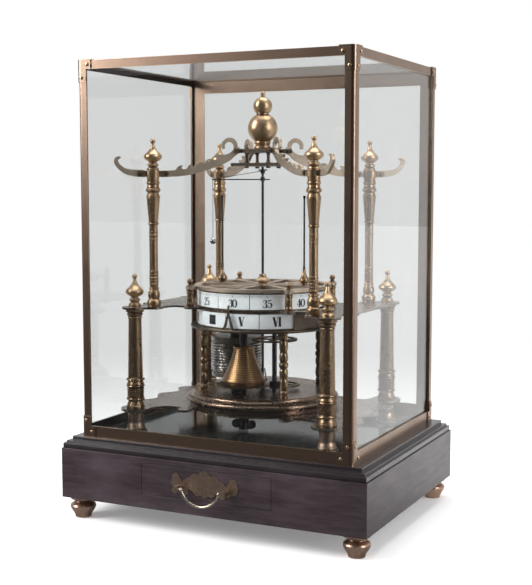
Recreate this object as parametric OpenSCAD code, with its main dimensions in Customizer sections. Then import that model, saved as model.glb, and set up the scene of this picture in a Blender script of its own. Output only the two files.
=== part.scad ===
// Flying ball clock: a brass skeleton clock with two turning number rings and a
// whirling ball on a thread, in a lift-off glass case on a wooden base with a drawer.
// Millimetres, +Z up, front of the clock towards -Y.

/* [Wooden base] */
// Width of the wooden base
base_w = 404; // [380:1:460]
// Depth of the wooden base
base_d = 313; // [300:1:360]
// Height of the base's upright faces
base_h = 62; // [58:1:90]
// Thickness of the base's boards
board = 12; // [9:1:16]
// Height of the stepped moulding on the base
moulding_h = 14; // [10:0.5:20]
// How far the moulding steps in towards its top
moulding_step = 10; // [6:0.5:13]
// Height of a bun foot
foot_h = 27; // [20:1:34]
// Radius of a bun foot
foot_r = 16; // [12:0.5:20]
// How far a bun foot's centre stands in from the base's faces
foot_inset = 18.5; // [16:0.5:30]

/* [Drawer] */
// Width of the drawer's front
drawer_w = 172; // [140:1:220]
// Height of the drawer's front
drawer_h = 37; // [30:1:38]
// Height of the drawer's lower edge over the base's lower edge
drawer_z = 17.5; // [16:0.5:19]
// Depth of the drawer behind its front
drawer_d = 200; // [120:1:240]
// Thickness of the drawer's sides and bottom
drawer_wall = 6; // [4:0.5:8]
// Width of a drawer runner's level seat
seat_w = 16; // [12:1:20]
// Width of a drawer runner's upright guide
guide_w = 5; // [4:0.5:6]
// Height of a drawer runner's upright guide
guide_h = 12; // [8:1:16]
// Gap round the drawer's front
drawer_gap = 0.5; // [0.3:0.1:1]
// Width of the pull's back plate
pull_w = 89; // [80:1:110]
// Distance between the pull's two posts
pull_bore = 62; // [56:1:70]
// How far the pull stands out of the drawer's front
pull_reach = 16; // [14:0.5:20]
// Thickness of the bail's wire
bail_d = 3; // [2.4:0.1:3.4]
// How far the bail hangs under its posts
bail_drop = 18; // [16:0.5:20]

/* [Glass case] */
// Width of the glass case
case_w = 359; // [358:1:366]
// Depth of the glass case
case_d = 285; // [282:1:288]
// Height of the glass case
case_h = 460; // [450:1:520]
// Width of a corner post's legs
post_leg = 12; // [10:0.5:16]
// Radius of the corner posts' rounded edge
post_round = 4.8; // [3:0.1:5.5]
// Thickness of the case's angle strips
angle_t = 2.5; // [2:0.1:3]
// Height of the case's top rails
top_rail_h = 10.5; // [9:0.5:14]
// Height of the case's bottom rails
bottom_rail_h = 14; // [10:0.5:18]
// Width of the rails' level legs
rail_leg = 9; // [7:0.5:10]
// Thickness of the glass
glass_t = 3; // [2:0.5:4]
// Length of a corner bracket's legs along the rails
bracket_leg = 19; // [16:0.5:26]
// Height of a corner bracket along the post
bracket_h = 26; // [20:0.5:34]
// Width of the flat frame at the back, from the case's outer faces
back_frame_w = 21; // [18:0.5:26]
// Thickness of the flat frame at the back
back_frame_t = 2; // [1.5:0.1:3]
// Thickness of the dark floor plate in the case
floor_t = 2; // [1.5:0.5:4]

/* [Frame] */
// Half the distance between the main columns, across
col_x = 130; // [126:0.5:134]
// Half the distance between the main columns, front to back
col_y = 97; // [95:0.5:100]
// Height of a spool foot between the floor and the lower plate
spool_h = 27.7; // [24:0.1:34]
// Thickness of the lower plate
lower_t = 3; // [2.5:0.1:4]
// Height of the main columns, from the lower plate to the upper plate
column_h = 124.5; // [124:0.1:127]
// Thickness of the upper plate
upper_t = 2.5; // [2:0.1:3]
// Half the distance between the slender columns, across
slim_x = 108; // [105:0.5:110]
// Half the distance between the slender columns, front to back
slim_y = 87; // [85:0.5:88]
// Height of the slender columns
slim_h = 169; // [160:1:175]
// Radius of the slender columns' neck, which the arm collars hold
slim_neck_r = 7.5; // [7:0.1:8]
// Thickness of the scroll brackets and outer hooks
scroll_t = 4; // [3:0.1:5]
// Width of the canopy's top plate
canopy_top_w = 44; // [42:0.5:46]
// Width of the canopy's lower plate
canopy_low_w = 60; // [56:0.5:62]
// Radius of the crown's large ball
crown_r = 18.7; // [17:0.1:19.5]
// Thickness of the canopy's plates
canopy_t = 4; // [3:0.1:5]
// Height of the pillars between the canopy's plates
canopy_pillar_h = 13.2; // [11:0.1:16]

/* [Movement] */
// Largest radius of the movement's turned base
bed_r = 97; // [95:0.5:100]
// Radius of the movement's deck
deck_r = 88; // [86:0.5:90]
// Height of the movement's turned base
bed_h = 20; // [18:0.5:20]
// Height of the beaded pillars
pillar_h = 80; // [79:0.1:82]
// Distance of the beaded pillars from the centre line
pillar_ring = 78; // [76:0.5:79]
// Radius of the plate that carries the hour ring
ring_plate_r = 91.5; // [88:0.5:93]
// Thickness of the plate that carries the hour ring
ring_plate_t = 3.6; // [3:0.1:4]
// Radius of the number rings
ring_r = 83; // [82:0.5:84]
// Thickness of the enamel on the number rings
enamel_t = 1; // [0.8:0.1:1.5]
// Thickness of the rings' brass wall
ring_wall = 2; // [1.5:0.1:3]
// Height of the bridge over the upper plate
bridge_rise = 21.9; // [20:0.1:26]
// Outer radius of the spoked bridge
bridge_r = 87; // [86:0.5:88]
// Thickness of the spoked bridge
bridge_t = 3.9; // [3:0.1:5]
// Distance of the ball-topped bridge posts from the centre line
post_ring = 95.5; // [95:0.5:97]
// Distance of the two wrap posts from the centre line
wrap_ring = 55.5; // [50:0.5:56]
// Height of the turned cone at a wrap post's foot
cone_h = 26; // [22:1:30]
// Height of the wrap posts over the bridge
wrap_h = 112; // [90:1:122]

/* [Train] */
// Tooth size of the train's wheels, as pitch diameter over teeth
train_module = 0.7; // [0.69:0.01:0.71]
// Teeth on the great wheel
great_teeth = 96; // [96:4:96]
// Thickness of the train's wheels
wheel_t = 2; // [1.6:0.1:2.4]
// Radius of the fusee at its foot
fusee_r = 27; // [24:0.5:28]
// Radius of the fusee at its top
fusee_top_r = 12.5; // [11:0.5:15]
// Height of the fusee
fusee_h = 44; // [38:0.5:46]
// Radius of the spring barrel, over the wound line
barrel_r = 34; // [32:0.5:34]
// Turns of line on the barrel
line_turns = 10; // [4:1:10]
// Thickness of the line
line_d = 3; // [2:0.1:3]
// Radius of the arbors' bodies
arbor_r = 3; // [2.5:0.1:3.2]
// Radius of the arbors' pivots
pivot_r = 2; // [1.6:0.1:2.2]
// Running gap round a pivot
run_gap = 0.06; // [0.02:0.01:0.08]

/* [Fly] */
// Radius of the fly's rod
rod_r = 1.6; // [1.2:0.1:1.8]
// Reach of the fly's arm from the centre line
arm_reach = 63; // [60:0.5:66]
// Reach of the arm's short end
arm_tail = 9; // [6:0.5:14]
// Distance of the arm under the canopy's lower plate
arm_drop = 16.4; // [14:0.1:20]
// Length of the thread
thread_l = 74; // [60:1:90]
// Radius of the ball
ball_r = 4; // [3:0.1:5]
// Compass angle of the arm at rest, from the front's right
arm_angle = 205.8; // [200:0.1:212]

/* [Hidden] */

// Half the pull's reach: it puts the origin under the middle of the whole clock
origin_y = pull_reach / 2;
smooth = 64;
small_smooth = 32;
seat_gap = 0.3;

// Heights of the base and the case
z_base = foot_h;
z_moulding = z_base + base_h;
z_case = z_moulding + moulding_h;
z_case_top = z_case + case_h;
z_floor = z_case + floor_t;
glass_in = angle_t + glass_t;

// Heights of the frame
z_lower = z_floor + spool_h;
z_lower_top = z_lower + lower_t;
z_upper = z_lower_top + column_h;
z_upper_top = z_upper + upper_t;
z_slim_top = z_upper_top + slim_h;
collar_h = 7.6;
z_joint = z_slim_top - 0.6 - collar_h / 2;
slim_ring = norm([slim_x, slim_y]);
slim_angle = atan2(slim_y, slim_x);
canopy_rise = 9.7;
z_canopy = z_joint + canopy_rise;
z_canopy_top = z_canopy + canopy_t;
z_crown_plate = z_canopy_top + canopy_pillar_h;
z_crown = z_crown_plate + canopy_t;

// Heights of the movement
z_deck = z_lower_top + bed_h;
z_ring_plate = z_deck + pillar_h;
z_ring_top = z_ring_plate + ring_plate_t;
ring_clear = 0.5;
z_hour = z_ring_top + ring_clear;
hour_h = z_upper - ring_clear - z_hour;
z_minute = z_upper_top + ring_clear;
z_bridge = z_upper_top + bridge_rise;
z_bridge_top = z_bridge + bridge_t;
minute_h = z_bridge - 1.2 - z_minute;
rim_h = 1;
deck_t = 4;

// Train: each axis lies where its wheels are in mesh
great_r = great_teeth * train_module / 2;
second_teeth = 16;
second_r = second_teeth * train_module / 2;
fusee_at = [-8, -38];
fusee_to_second = great_r + second_r;
second_angle = 14.5;
second_at = fusee_at + fusee_to_second * [cos(second_angle), sin(second_angle)];
upper_wheel_teeth = 80;
third_teeth = 16;
upper_wheel_r = upper_wheel_teeth * train_module / 2;
third_r = third_teeth * train_module / 2;
second_to_third = upper_wheel_r + third_r;
third_angle = 98;
third_at = second_at + second_to_third * [cos(third_angle), sin(third_angle)];
fly_teeth = 12;
lower_wheel_teeth = 64;
fly_module = 2 * norm(third_at) / (lower_wheel_teeth + fly_teeth);
fly_turn = atan2(third_at[1], third_at[0]);
barrel_at = [-44, 14];
z_great = z_deck + 8.5;
z_fusee = z_great + wheel_t + 3;
z_upper_wheel = z_ring_plate - 14;
z_lower_wheel = z_deck + 4;
z_barrel = z_great + wheel_t + 1;
barrel_skirt = 5;
z_line = z_barrel + barrel_skirt;
line_room = 41;
barrel_core_r = barrel_r - line_d - seat_gap;

// Motion work: the wheels that turn the number rings
work_clear = 0.8;
second_top_teeth = 56;
minute_teeth = 64;
work_module = 2 * norm(second_at) / (second_top_teeth + minute_teeth);
second_turn = atan2(second_at[1], second_at[0]);
cannon_teeth = 16;
idler_teeth = 48;
idler_pinion_teeth = 16;
hour_teeth = 64;
idler_dist = 28.8;
cannon_module = 2 * idler_dist / (cannon_teeth + idler_teeth);
hour_module = 2 * idler_dist / (idler_pinion_teeth + hour_teeth);
idler_angle = 150;
idler_at = idler_dist * [cos(idler_angle), sin(idler_angle)];
tube_r = 3.2;
minute_pipe_r = 5;
hour_pipe_r = 6.6;
z_work = z_ring_top + work_clear;
z_cannon = z_work + wheel_t + 0.5;
z_hour_wheel = z_cannon + 6;

// The fly
z_arm = z_canopy - arm_drop;
spoke_turn = 5;

// Numbers on the rings: the angles of the 30 and of the V
minute_angle = 270;
hour_angle = 278;

// The compass directions of the four legs of the frame
corners = [[1, 1], [-1, 1], [-1, -1], [1, -1]];

function bulge(z0, z1, r0, r1, n = 8) =
    [for (i = [0:n]) [r0 + (r1 - r0) * sin(180 * i / n), z0 + (z1 - z0) * (1 - cos(180 * i / n)) / 2]];
function swell(z0, z1, r0, r1, n = 6) =
    [for (i = [0:n]) [r0 + (r1 - r0) * (1 - cos(180 * i / n)) / 2, z0 + (z1 - z0) * i / n]];

function arc(centre, r, from, to, n) = [for (i = [0:n]) let (a = from + (to - from) * i / n)
    centre + r * [cos(a), sin(a)]];

// A tube through rings of points, each listed the same way round
module swept(rings, sides) {
    n = len(rings);
    faces = concat([for (i = [0:n - 2]) for (k = [0:sides - 1])
        let (a = i * sides + k, b = i * sides + (k + 1) % sides)
        each [[a, a + sides, b], [b, a + sides, b + sides]]],
        [for (k = [1:sides - 2]) [0, k, k + 1]],
        [for (k = [1:sides - 2]) [(n - 1) * sides, (n - 1) * sides + k + 1, (n - 1) * sides + k]]);
    polyhedron(points = [for (r = rings) each r], faces = faces);
}

// A smooth curve through the points p, with n steps from each to the next
function spline_at(p, i, t) = let (n = len(p), a = p[max(i - 1, 0)], b = p[i], c = p[min(i + 1, n - 1)],
    d = p[min(i + 2, n - 1)])
    0.5 * (2 * b + (c - a) * t + (2 * a - 5 * b + 4 * c - d) * t * t + (3 * b - a - 3 * c + d) * t * t * t);
function smooth_line(p, n = 4) = concat([for (i = [0:len(p) - 2]) for (k = [0:n - 1])
    spline_at(p, i, k / n)], [p[len(p) - 1]]);

// A turned piece from its outline, listed upwards as radius and height
module turned(outline, fn = smooth) {
    last = outline[len(outline) - 1];
    rotate_extrude($fn = fn)
        polygon(concat([[0, outline[0][1]]], outline, [[0, last[1]]]));
}
module at_columns() for (c = corners) translate([c[0] * col_x, c[1] * col_y, 0]) children();
module at_slims() for (c = corners) translate([c[0] * slim_x, c[1] * slim_y, 0]) children();
// Four arms on the diagonals, with +X away from the centre line
module at_arms() for (c = corners) mirror([c[0] < 0 ? 1 : 0, 0, 0]) mirror([0, c[1] < 0 ? 1 : 0, 0])
    rotate(slim_angle) children();
module around(ring, first = 45, count = 4)
    for (i = [0:count - 1]) rotate(first + i * 360 / count) translate([ring, 0, 0]) children();
module disc(r, h, fn = smooth) cylinder(r = r, h = h, $fn = fn);
module tube(r, bore, h, fn = smooth) difference() {
    disc(r, h, fn);
    translate([0, 0, -1]) disc(bore, h + 2, fn);
}
module slab(w, d, h) translate([-w / 2, -d / 2, 0]) cube([w, d, h]);

// Tooth outline with straight flanks; share is the tooth's part of the pitch at its root
function gear_points(teeth, size, root_share = 0.56, tip_share = 0.22) =
    let (step = 360 / teeth, root = size * teeth / 2 - size * 1.25, tip = size * teeth / 2 + size * 0.85)
    [for (i = [0:teeth - 1]) each [
        for (p = [[root, -root_share / 2], [tip, -tip_share / 2], [tip, tip_share / 2],
            [root, root_share / 2]])
            p[0] * [cos((i + p[1]) * step), sin((i + p[1]) * step)]]];
module gear(teeth, size, h, bore, turn = 0) rotate(turn) difference() {
    linear_extrude(h) polygon(gear_points(teeth, size));
    translate([0, 0, -1]) disc(bore, h + 2, small_smooth);
}
// A wheel with a rim, four spokes and a hub
module spoked_gear(teeth, size, h, bore, rim, spoke, hub, turn = 0) {
    inner = size * teeth / 2 - size * 1.25 - rim;
    rotate(turn) difference() {
        linear_extrude(h) difference() {
            polygon(gear_points(teeth, size));
            difference() {
                circle(r = inner, $fn = smooth);
                circle(r = hub, $fn = small_smooth);
                for (a = [0, 90]) rotate(a) square([2 * inner + 2, spoke], center = true);
            }
        }
        translate([0, 0, -1]) disc(bore, h + 2, small_smooth);
    }
}

/* The wooden base */
module base_cabinet() color("#2f2327") difference() {
    translate([0, 0, z_base]) slab(base_w, base_d, base_h);
    translate([0, 0, z_base + board / 2 + 2]) slab(base_w - 2 * board, base_d - 2 * board, base_h);
    translate([-drawer_w / 2 - drawer_gap, -base_d / 2 - 1, z_base + drawer_z - drawer_gap])
        cube([drawer_w + 2 * drawer_gap, board + 2, drawer_h + 2 * drawer_gap]);
}
module base_moulding() color("#2f2327") translate([0, 0, z_moulding]) {
    step = moulding_step;
    lip = moulding_h * 0.45;
    slab(base_w - 3, base_d - 3, lip);
    translate([0, 0, lip]) slab(base_w - step * 0.9, base_d - step * 0.9, moulding_h * 0.2);
    translate([0, 0, lip + moulding_h * 0.2]) slab(base_w - 2 * step, base_d - 2 * step, moulding_h * 0.35);
}
module base_feet() color("#9a6f4a")
    for (c = corners) translate([c[0] * (base_w / 2 - foot_inset), c[1] * (base_d / 2 - foot_inset), 0])
        turned(concat([[foot_r * 0.45, 0]], swell(0.6, foot_h * 0.55, foot_r * 0.62, foot_r, 8),
            swell(foot_h * 0.56, foot_h * 0.8, foot_r, foot_r * 0.62, 4),
            [[foot_r * 0.62, foot_h * 0.86], [foot_r * 0.98, foot_h * 0.88], [foot_r * 0.98, foot_h]]));
module drawer_runners() color("#6b5140") {
    z_seat = z_base + drawer_z - seat_gap;
    z_in = z_base + board / 2 + 2;
    run = base_d - 2 * board;
    guide_x = drawer_w / 2 + 1.5;
    for (s = [0, 1]) mirror([s, 0, 0]) {
        translate([guide_x - seat_w, -run / 2, z_in]) cube([seat_w + guide_w, run, z_seat - z_in]);
        translate([guide_x, -run / 2, z_seat]) cube([guide_w, run, guide_h]);
    }
}

/* The drawer */
drawer_face_y = -base_d / 2;
z_drawer = z_base + drawer_z;
pull_z = z_drawer + 14.7;
pull_plate_t = 1.2;
knuckle_r = 4;
bail_y = drawer_face_y - pull_reach + knuckle_r;
bail_pin_r = bail_d / 2 + 0.1;
module drawer_front() color("#33262b")
    translate([-drawer_w / 2, drawer_face_y, z_drawer]) cube([drawer_w, board, drawer_h]);
module drawer_box() color("#6b5140") {
    w = drawer_w - 2;
    h = drawer_h - 3;
    translate([0, drawer_face_y + board, z_drawer]) difference() {
        translate([-w / 2, 0, 0]) cube([w, drawer_d, h]);
        translate([-w / 2 + drawer_wall, drawer_wall, drawer_wall])
            cube([w - 2 * drawer_wall, drawer_d - 2 * drawer_wall, h]);
    }
}
// Back plate: a scalloped middle with a comma-shaped ear at each end
module pull_outline() {
    ear_x = pull_w / 2 - 7.5;
    for (s = [0, 1]) mirror([s, 0]) {
        for (lobe = [[0, 11.5, 10], [12.5, 9.5, 8], [20, 5.5, 7], [25.5, 4, 4.5], [9, -1.5, 6.5],
            [25, -4.5, 4]])
            translate([lobe[0], lobe[1]]) circle(r = lobe[2], $fn = small_smooth);
        translate([pull_bore / 2, 0]) circle(r = 5.5, $fn = small_smooth);
        translate([ear_x, 4.5]) circle(r = 7.5, $fn = small_smooth);
        translate([ear_x + 1, 11.5]) circle(r = 5, $fn = small_smooth);
    }
    polygon([[-22, -1], [-8, -6], [0, -10], [8, -6], [22, -1], [22, 8], [-22, 8]]);
}
module pull_plate() color("#7d6650") {
    translate([0, drawer_face_y, pull_z]) rotate([90, 0, 0]) linear_extrude(pull_plate_t) pull_outline();
    for (s = [-1, 1]) difference() {
        translate([s * pull_bore / 2, drawer_face_y - pull_plate_t, pull_z]) rotate([90, 0, 0]) {
            disc(2.6, pull_reach - 2 * knuckle_r, small_smooth);
            translate([0, 0, pull_reach - pull_plate_t - 2 * knuckle_r])
                disc(knuckle_r, 2 * knuckle_r, small_smooth);
        }
        translate([s * pull_bore / 2 - 6, bail_y, pull_z]) rotate([0, 90, 0])
            disc(bail_pin_r + run_gap, 12, small_smooth);
    }
}
// The bail: a bow of round wire between two small balls, each with a pin into its post
bail_ball_r = 2.2;
bail_end = pull_bore / 2 - knuckle_r - bail_ball_r - run_gap;
bow_r = (pow(bail_end, 2) + pow(bail_drop, 2)) / (2 * bail_drop);
bow_half = asin(bail_end / bow_r);
module pull_bail() color("#a08c6c") translate([0, bail_y, pull_z]) {
    translate([0, 0, bow_r - bail_drop]) rotate([90, 0, 0]) rotate([0, 0, 270 - bow_half])
        rotate_extrude(angle = 2 * bow_half, $fn = 96) translate([bow_r, 0])
            circle(r = bail_d / 2, $fn = 20);
    for (s = [-1, 1]) translate([s * bail_end, 0, 0]) {
        sphere(r = bail_ball_r, $fn = small_smooth);
        rotate([0, s * 90, 0]) disc(bail_pin_r, bail_ball_r + knuckle_r + run_gap + 1, 24);
    }
}

/* The glass case: angle strips outside, panes inside them */
bracket_t = 1.2;
screw_r = 2.1;
screw_h = 1.3;
module at_case_corners() for (c = corners)
    translate([c[0] * case_w / 2, c[1] * case_d / 2, 0]) mirror([c[0] > 0 ? 1 : 0, 0, 0])
        mirror([0, c[1] > 0 ? 1 : 0, 0])
        children();
// A square with one rounded corner, grown outwards at that corner's two sides
module rounded_corner(leg, out) union() {
    translate([post_round, post_round]) circle(r = post_round + out, $fn = smooth);
    translate([post_round, -out]) square([leg - post_round, leg + out]);
    translate([-out, post_round]) square([leg + out, leg - post_round]);
}
module case_posts() color("#8a7358") at_case_corners() translate([0, 0, z_case]) linear_extrude(case_h)
    difference() {
        rounded_corner(post_leg, 0);
        translate([angle_t, angle_t]) square(post_leg);
    }
// One angle rail along X, its outer face at y = 0 and its level leg at the top
module rail(length, h) {
    translate([-length / 2, 0, -h]) cube([length, angle_t, h]);
    translate([-length / 2, 0, -angle_t]) cube([length, rail_leg, angle_t]);
}
module rail_ring(h) for (s = [0, 1]) {
    mirror([0, s, 0]) translate([0, -case_d / 2, 0]) rail(case_w - 2 * post_leg, h);
    mirror([s, 0, 0]) translate([-case_w / 2, 0, 0]) rotate(-90) rail(case_d - 2 * post_leg, h);
}
pane_low = z_case + angle_t;
pane_high = z_case_top - angle_t - glass_t;
// A flat frame just inside the back pane
module back_frame() {
    out_w = case_w - 2 * glass_in - seat_gap;
    in_w = case_w - 2 * back_frame_w;
    low = pane_low + seat_gap / 2;
    translate([0, case_d / 2 - glass_in - back_frame_t, 0]) difference() {
        translate([-out_w / 2, 0, low]) cube([out_w, back_frame_t, pane_high - seat_gap / 2 - low]);
        translate([-in_w / 2, -1, z_case + back_frame_w])
            cube([in_w, back_frame_t + 2, case_h - 2 * back_frame_w]);
    }
}
// The eight rails, and the frame at the back as a solid of its own
module case_rails() color("#8a7358") {
    translate([0, 0, z_case_top]) rail_ring(top_rail_h);
    translate([0, 0, z_case]) mirror([0, 0, 1]) rail_ring(bottom_rail_h);
    back_frame();
}
// Plates over one corner: on the front, on the side and, at the top, on the level legs
module bracket(rail_h, top) {
    for (size = [[bracket_leg, rail_h], [post_leg, bracket_h]]) linear_extrude(size[1]) difference() {
        rounded_corner(size[0], bracket_t);
        rounded_corner(size[0] + 1, 0);
    }
    if (top) translate([0, 0, -bracket_t]) linear_extrude(bracket_t) difference() {
        rounded_corner(bracket_leg, bracket_t);
        translate([rail_leg, rail_leg]) square(bracket_leg);
    }
}
module screw() turned(concat([[screw_r, 0]], [for (a = [0:15:90])
    [screw_r * cos(a), 0.5 + (screw_h - 0.5) * sin(a)]]), 24);
module bracket_screws(rail_h) for (s = [0, 1]) mirror([s, -s, 0]) {
    translate([bracket_leg - 5, -bracket_t, rail_h / 2]) rotate([90, 0, 0]) screw();
    translate([post_leg / 2, -bracket_t, bracket_h - 5]) rotate([90, 0, 0]) screw();
}
module corner_brackets() color("#94795a") {
    at_case_corners() translate([0, 0, z_case]) bracket(bottom_rail_h, false);
    at_case_corners() translate([0, 0, z_case_top]) mirror([0, 0, 1]) bracket(top_rail_h, true);
}
module case_screws() color("#6f5d46") {
    at_case_corners() translate([0, 0, z_case]) bracket_screws(bottom_rail_h);
    at_case_corners() translate([0, 0, z_case_top]) mirror([0, 0, 1]) bracket_screws(top_rail_h);
}
module glass_walls() color("#dfe8ea", 0.3) {
    for (s = [-1, 1]) {
        translate([0, s * (case_d / 2 - angle_t - glass_t / 2), pane_low])
            slab(case_w - 2 * angle_t, glass_t, pane_high - pane_low);
        translate([s * (case_w / 2 - angle_t - glass_t / 2), 0, pane_low])
            slab(glass_t, case_d - 2 * glass_in - seat_gap, pane_high - pane_low);
    }
}
module glass_top() color("#dfe8ea", 0.3)
    translate([0, 0, pane_high]) slab(case_w - 2 * angle_t, case_d - 2 * angle_t, glass_t);
module case_floor() color("#262a28") {
    clear = rail_leg + 0.5;
    translate([0, 0, z_case]) slab(case_w - 2 * clear, case_d - 2 * clear, floor_t);
}

/* The frame */
module spool_feet() color("#7a5f45") at_columns() translate([0, 0, z_floor])
    turned(concat([[13.4, 0]], bulge(0.4, 3.4, 13.2, 14, 4), [[12, 3.8]], bulge(4.2, 6.4, 11.4, 12, 4),
        swell(7, 13, 11, 9.6, 4), [[9.8, spool_h - 3]],
            bulge(spool_h - 2.6, spool_h - 0.4, 10, 10.8, 4), [[10.4, spool_h]]));
// The plates are drawn from one quarter of their outline, from the Y axis to the X axis
function turned_back(q) = [for (i = [len(q) - 1:-1:0]) q[i]];
function four_times(q) = concat(q, [for (p = turned_back(q)) [p[0], -p[1]]], [for (p = q) -p],
    [for (p = turned_back(q)) [-p[0], p[1]]]);
// Lower plate: an edge hidden under the bed, a curl, an ogee to the column's disc and a waved side
lower_quarter = let (col = [col_x, col_y]) concat(arc([0, 0], bed_r - 6, 88, 50, 6),
    [col - [66, 25.5]], arc(col - [60.5, 17], 8.5, 215, -38, 10),
    smooth_line([for (p = [[51.5, 24.4], [46, 26.2], [38, 26.8], [30, 24.6], [23, 18], [18.5, 8]])
        col - p], 3),
    arc(col, 18.5, 192, -30, 16),
    smooth_line([for (p = [[12, -17], [10, -21.5], [15.5, -27.5], [22.5, -36], [25, -43], [22, -50],
        [14.5, -58], [11, -66], [13, -74], [18, -83], [23, -90.5], [24.5, -96]]) col + p], 3));
// Upper plate: a round middle, a lobe for each bridge post, discs for both columns
upper_quarter = let (col = [col_x, col_y], slim = [slim_x, slim_y], post = post_ring * [cos(45), sin(45)])
    concat(arc([0, 0], ring_r + 1, 86, 53, 6), arc(post, 7.5, 150, -60, 8),
    smooth_line([post + [7, -7], post + [15, -7.5], post + [24, -8], slim - [11, 24], slim - [8, 13],
        slim - [9.5, 7]], 3),
    arc(slim, 11, 205, 120, 5), arc(col, 16, 165, -32, 14),
    smooth_line([for (p = [[10, -17], [8, -24], [3, -36], [10, -43], [18, -48], [14, -53], [12, -60],
        [13, -80]]) col + p], 3));
module lower_plate() color("#6f6250") difference() {
    translate([0, 0, z_lower]) linear_extrude(lower_t) polygon(four_times(lower_quarter));
    translate([fusee_at[0], fusee_at[1], z_lower - 1]) disc(arbor_r + 0.5, lower_t + 2, small_smooth);
}
module main_columns() color("#7d6040") at_columns() translate([0, 0, z_lower_top]) {
    h = column_h;
    turned(concat([[11.2, 0]], bulge(0.3, 3.6, 11, 11.6, 4), swell(4, 9.4, 10.8, 9.2, 4),
        bulge(10, 12.8, 10.2, 11.7, 4), [for (z = [13.4:2.6:23.8]) each bulge(z, z + 2.2, 9.9, 10.7, 3)],
        bulge(26.8, 29.4, 10.2, 11.7, 4), swell(30, 34, 10.8, 9.4, 4), bulge(34.6, 37.6, 10, 11.7, 4),
        [[9.4, 38.4], [8.1, h - 12.6]], bulge(h - 12.2, h - 9.4, 8.1, 9, 4),
        bulge(h - 8.6, h - 4.6, 8.4, 10, 5), [[9, h - 4.2], [11.3, h - 3.6], [11.3, h]]));
}
module upper_plate() color("#6f6250") translate([0, 0, z_upper]) difference() {
    linear_extrude(upper_t) polygon(four_times(upper_quarter));
    translate([0, 0, -1]) disc(minute_pipe_r + 0.6, upper_t + 2, small_smooth);
}
module slender_columns() color("#8f6e48") at_slims() translate([0, 0, z_upper_top]) {
    h = slim_h;
    turned(concat([[7.6, 0], [8, 0.6]], bulge(1, 8.6, 7.8, 9, 6), swell(9, 10.6, 7.4, 6.4, 3),
        bulge(10.8, 19, 6.6, 7.4, 6),
        swell(19.2, 21.8, 6.4, 5.2, 3), bulge(22, 24.6, 5.4, 6.5, 4), [[5, 25]],
        [for (z = [27:4:43]) each bulge(z, z + 2.4, 5.4, 5.9, 3)], [[5.3, 46], [5.3, h - 88]],
        [for (z = [h - 86:4.4:h - 76]) each bulge(z, z + 2.4, 5.3, 5.8, 3)],
        bulge(h - 67, h - 64, 5.4, 6.8, 4), [[5.8, h - 63.4], [8.3, h - 34]],
        bulge(h - 33.6, h - 31.4, 8.2, 9, 3), swell(h - 31, h - 28, 8, 7, 3),
        bulge(h - 27, h - 21.6, 7.2, 9.2, 5), swell(h - 21, h - 18, 7.6, 7, 3),
            bulge(h - 17.6, h - 13.6, 7.3, 8.3, 4),
        [[slim_neck_r, h - 10.6], [slim_neck_r, h]]), 48);
}
// An onion finial: rings, an onion drawn up to a neck, and a small ball
module finial(foot_ring) {
    b = foot_ring + 12.3;
    turned(concat([[7.2, 0]], bulge(0.4, foot_ring * 0.66, 7, 7.8, 4),
        swell(foot_ring * 0.72, foot_ring, 6.6, 4.8, 3),
        bulge(foot_ring + 0.4, foot_ring + 4.2, 5.4, 7, 5),
            [[4.6, foot_ring + 4.7], [4.4, foot_ring + 5.6]],
        [for (a = [-62:15.5:31]) [0.6 + 10.7 * cos(a), b + 6.6 * sin(a)]],
        smooth_line([[8.3, b + 4.8], [6.1, b + 6.8], [4.2, b + 9.2], [3, b + 11.8], [2.3, b + 14.2],
            [1.9, b + 16.2]], 2),
        [for (a = [-50:15:85]) [3.3 * cos(a), b + 19 + 3.3 * sin(a)]]), 48);
}
main_foot_ring = 6.6;
slim_foot_ring = 4.2;
module onion_finials() color("#a9804f") {
    at_columns() translate([0, 0, z_upper_top]) finial(main_foot_ring);
    at_slims() translate([0, 0, z_slim_top]) finial(slim_foot_ring);
}

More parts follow.
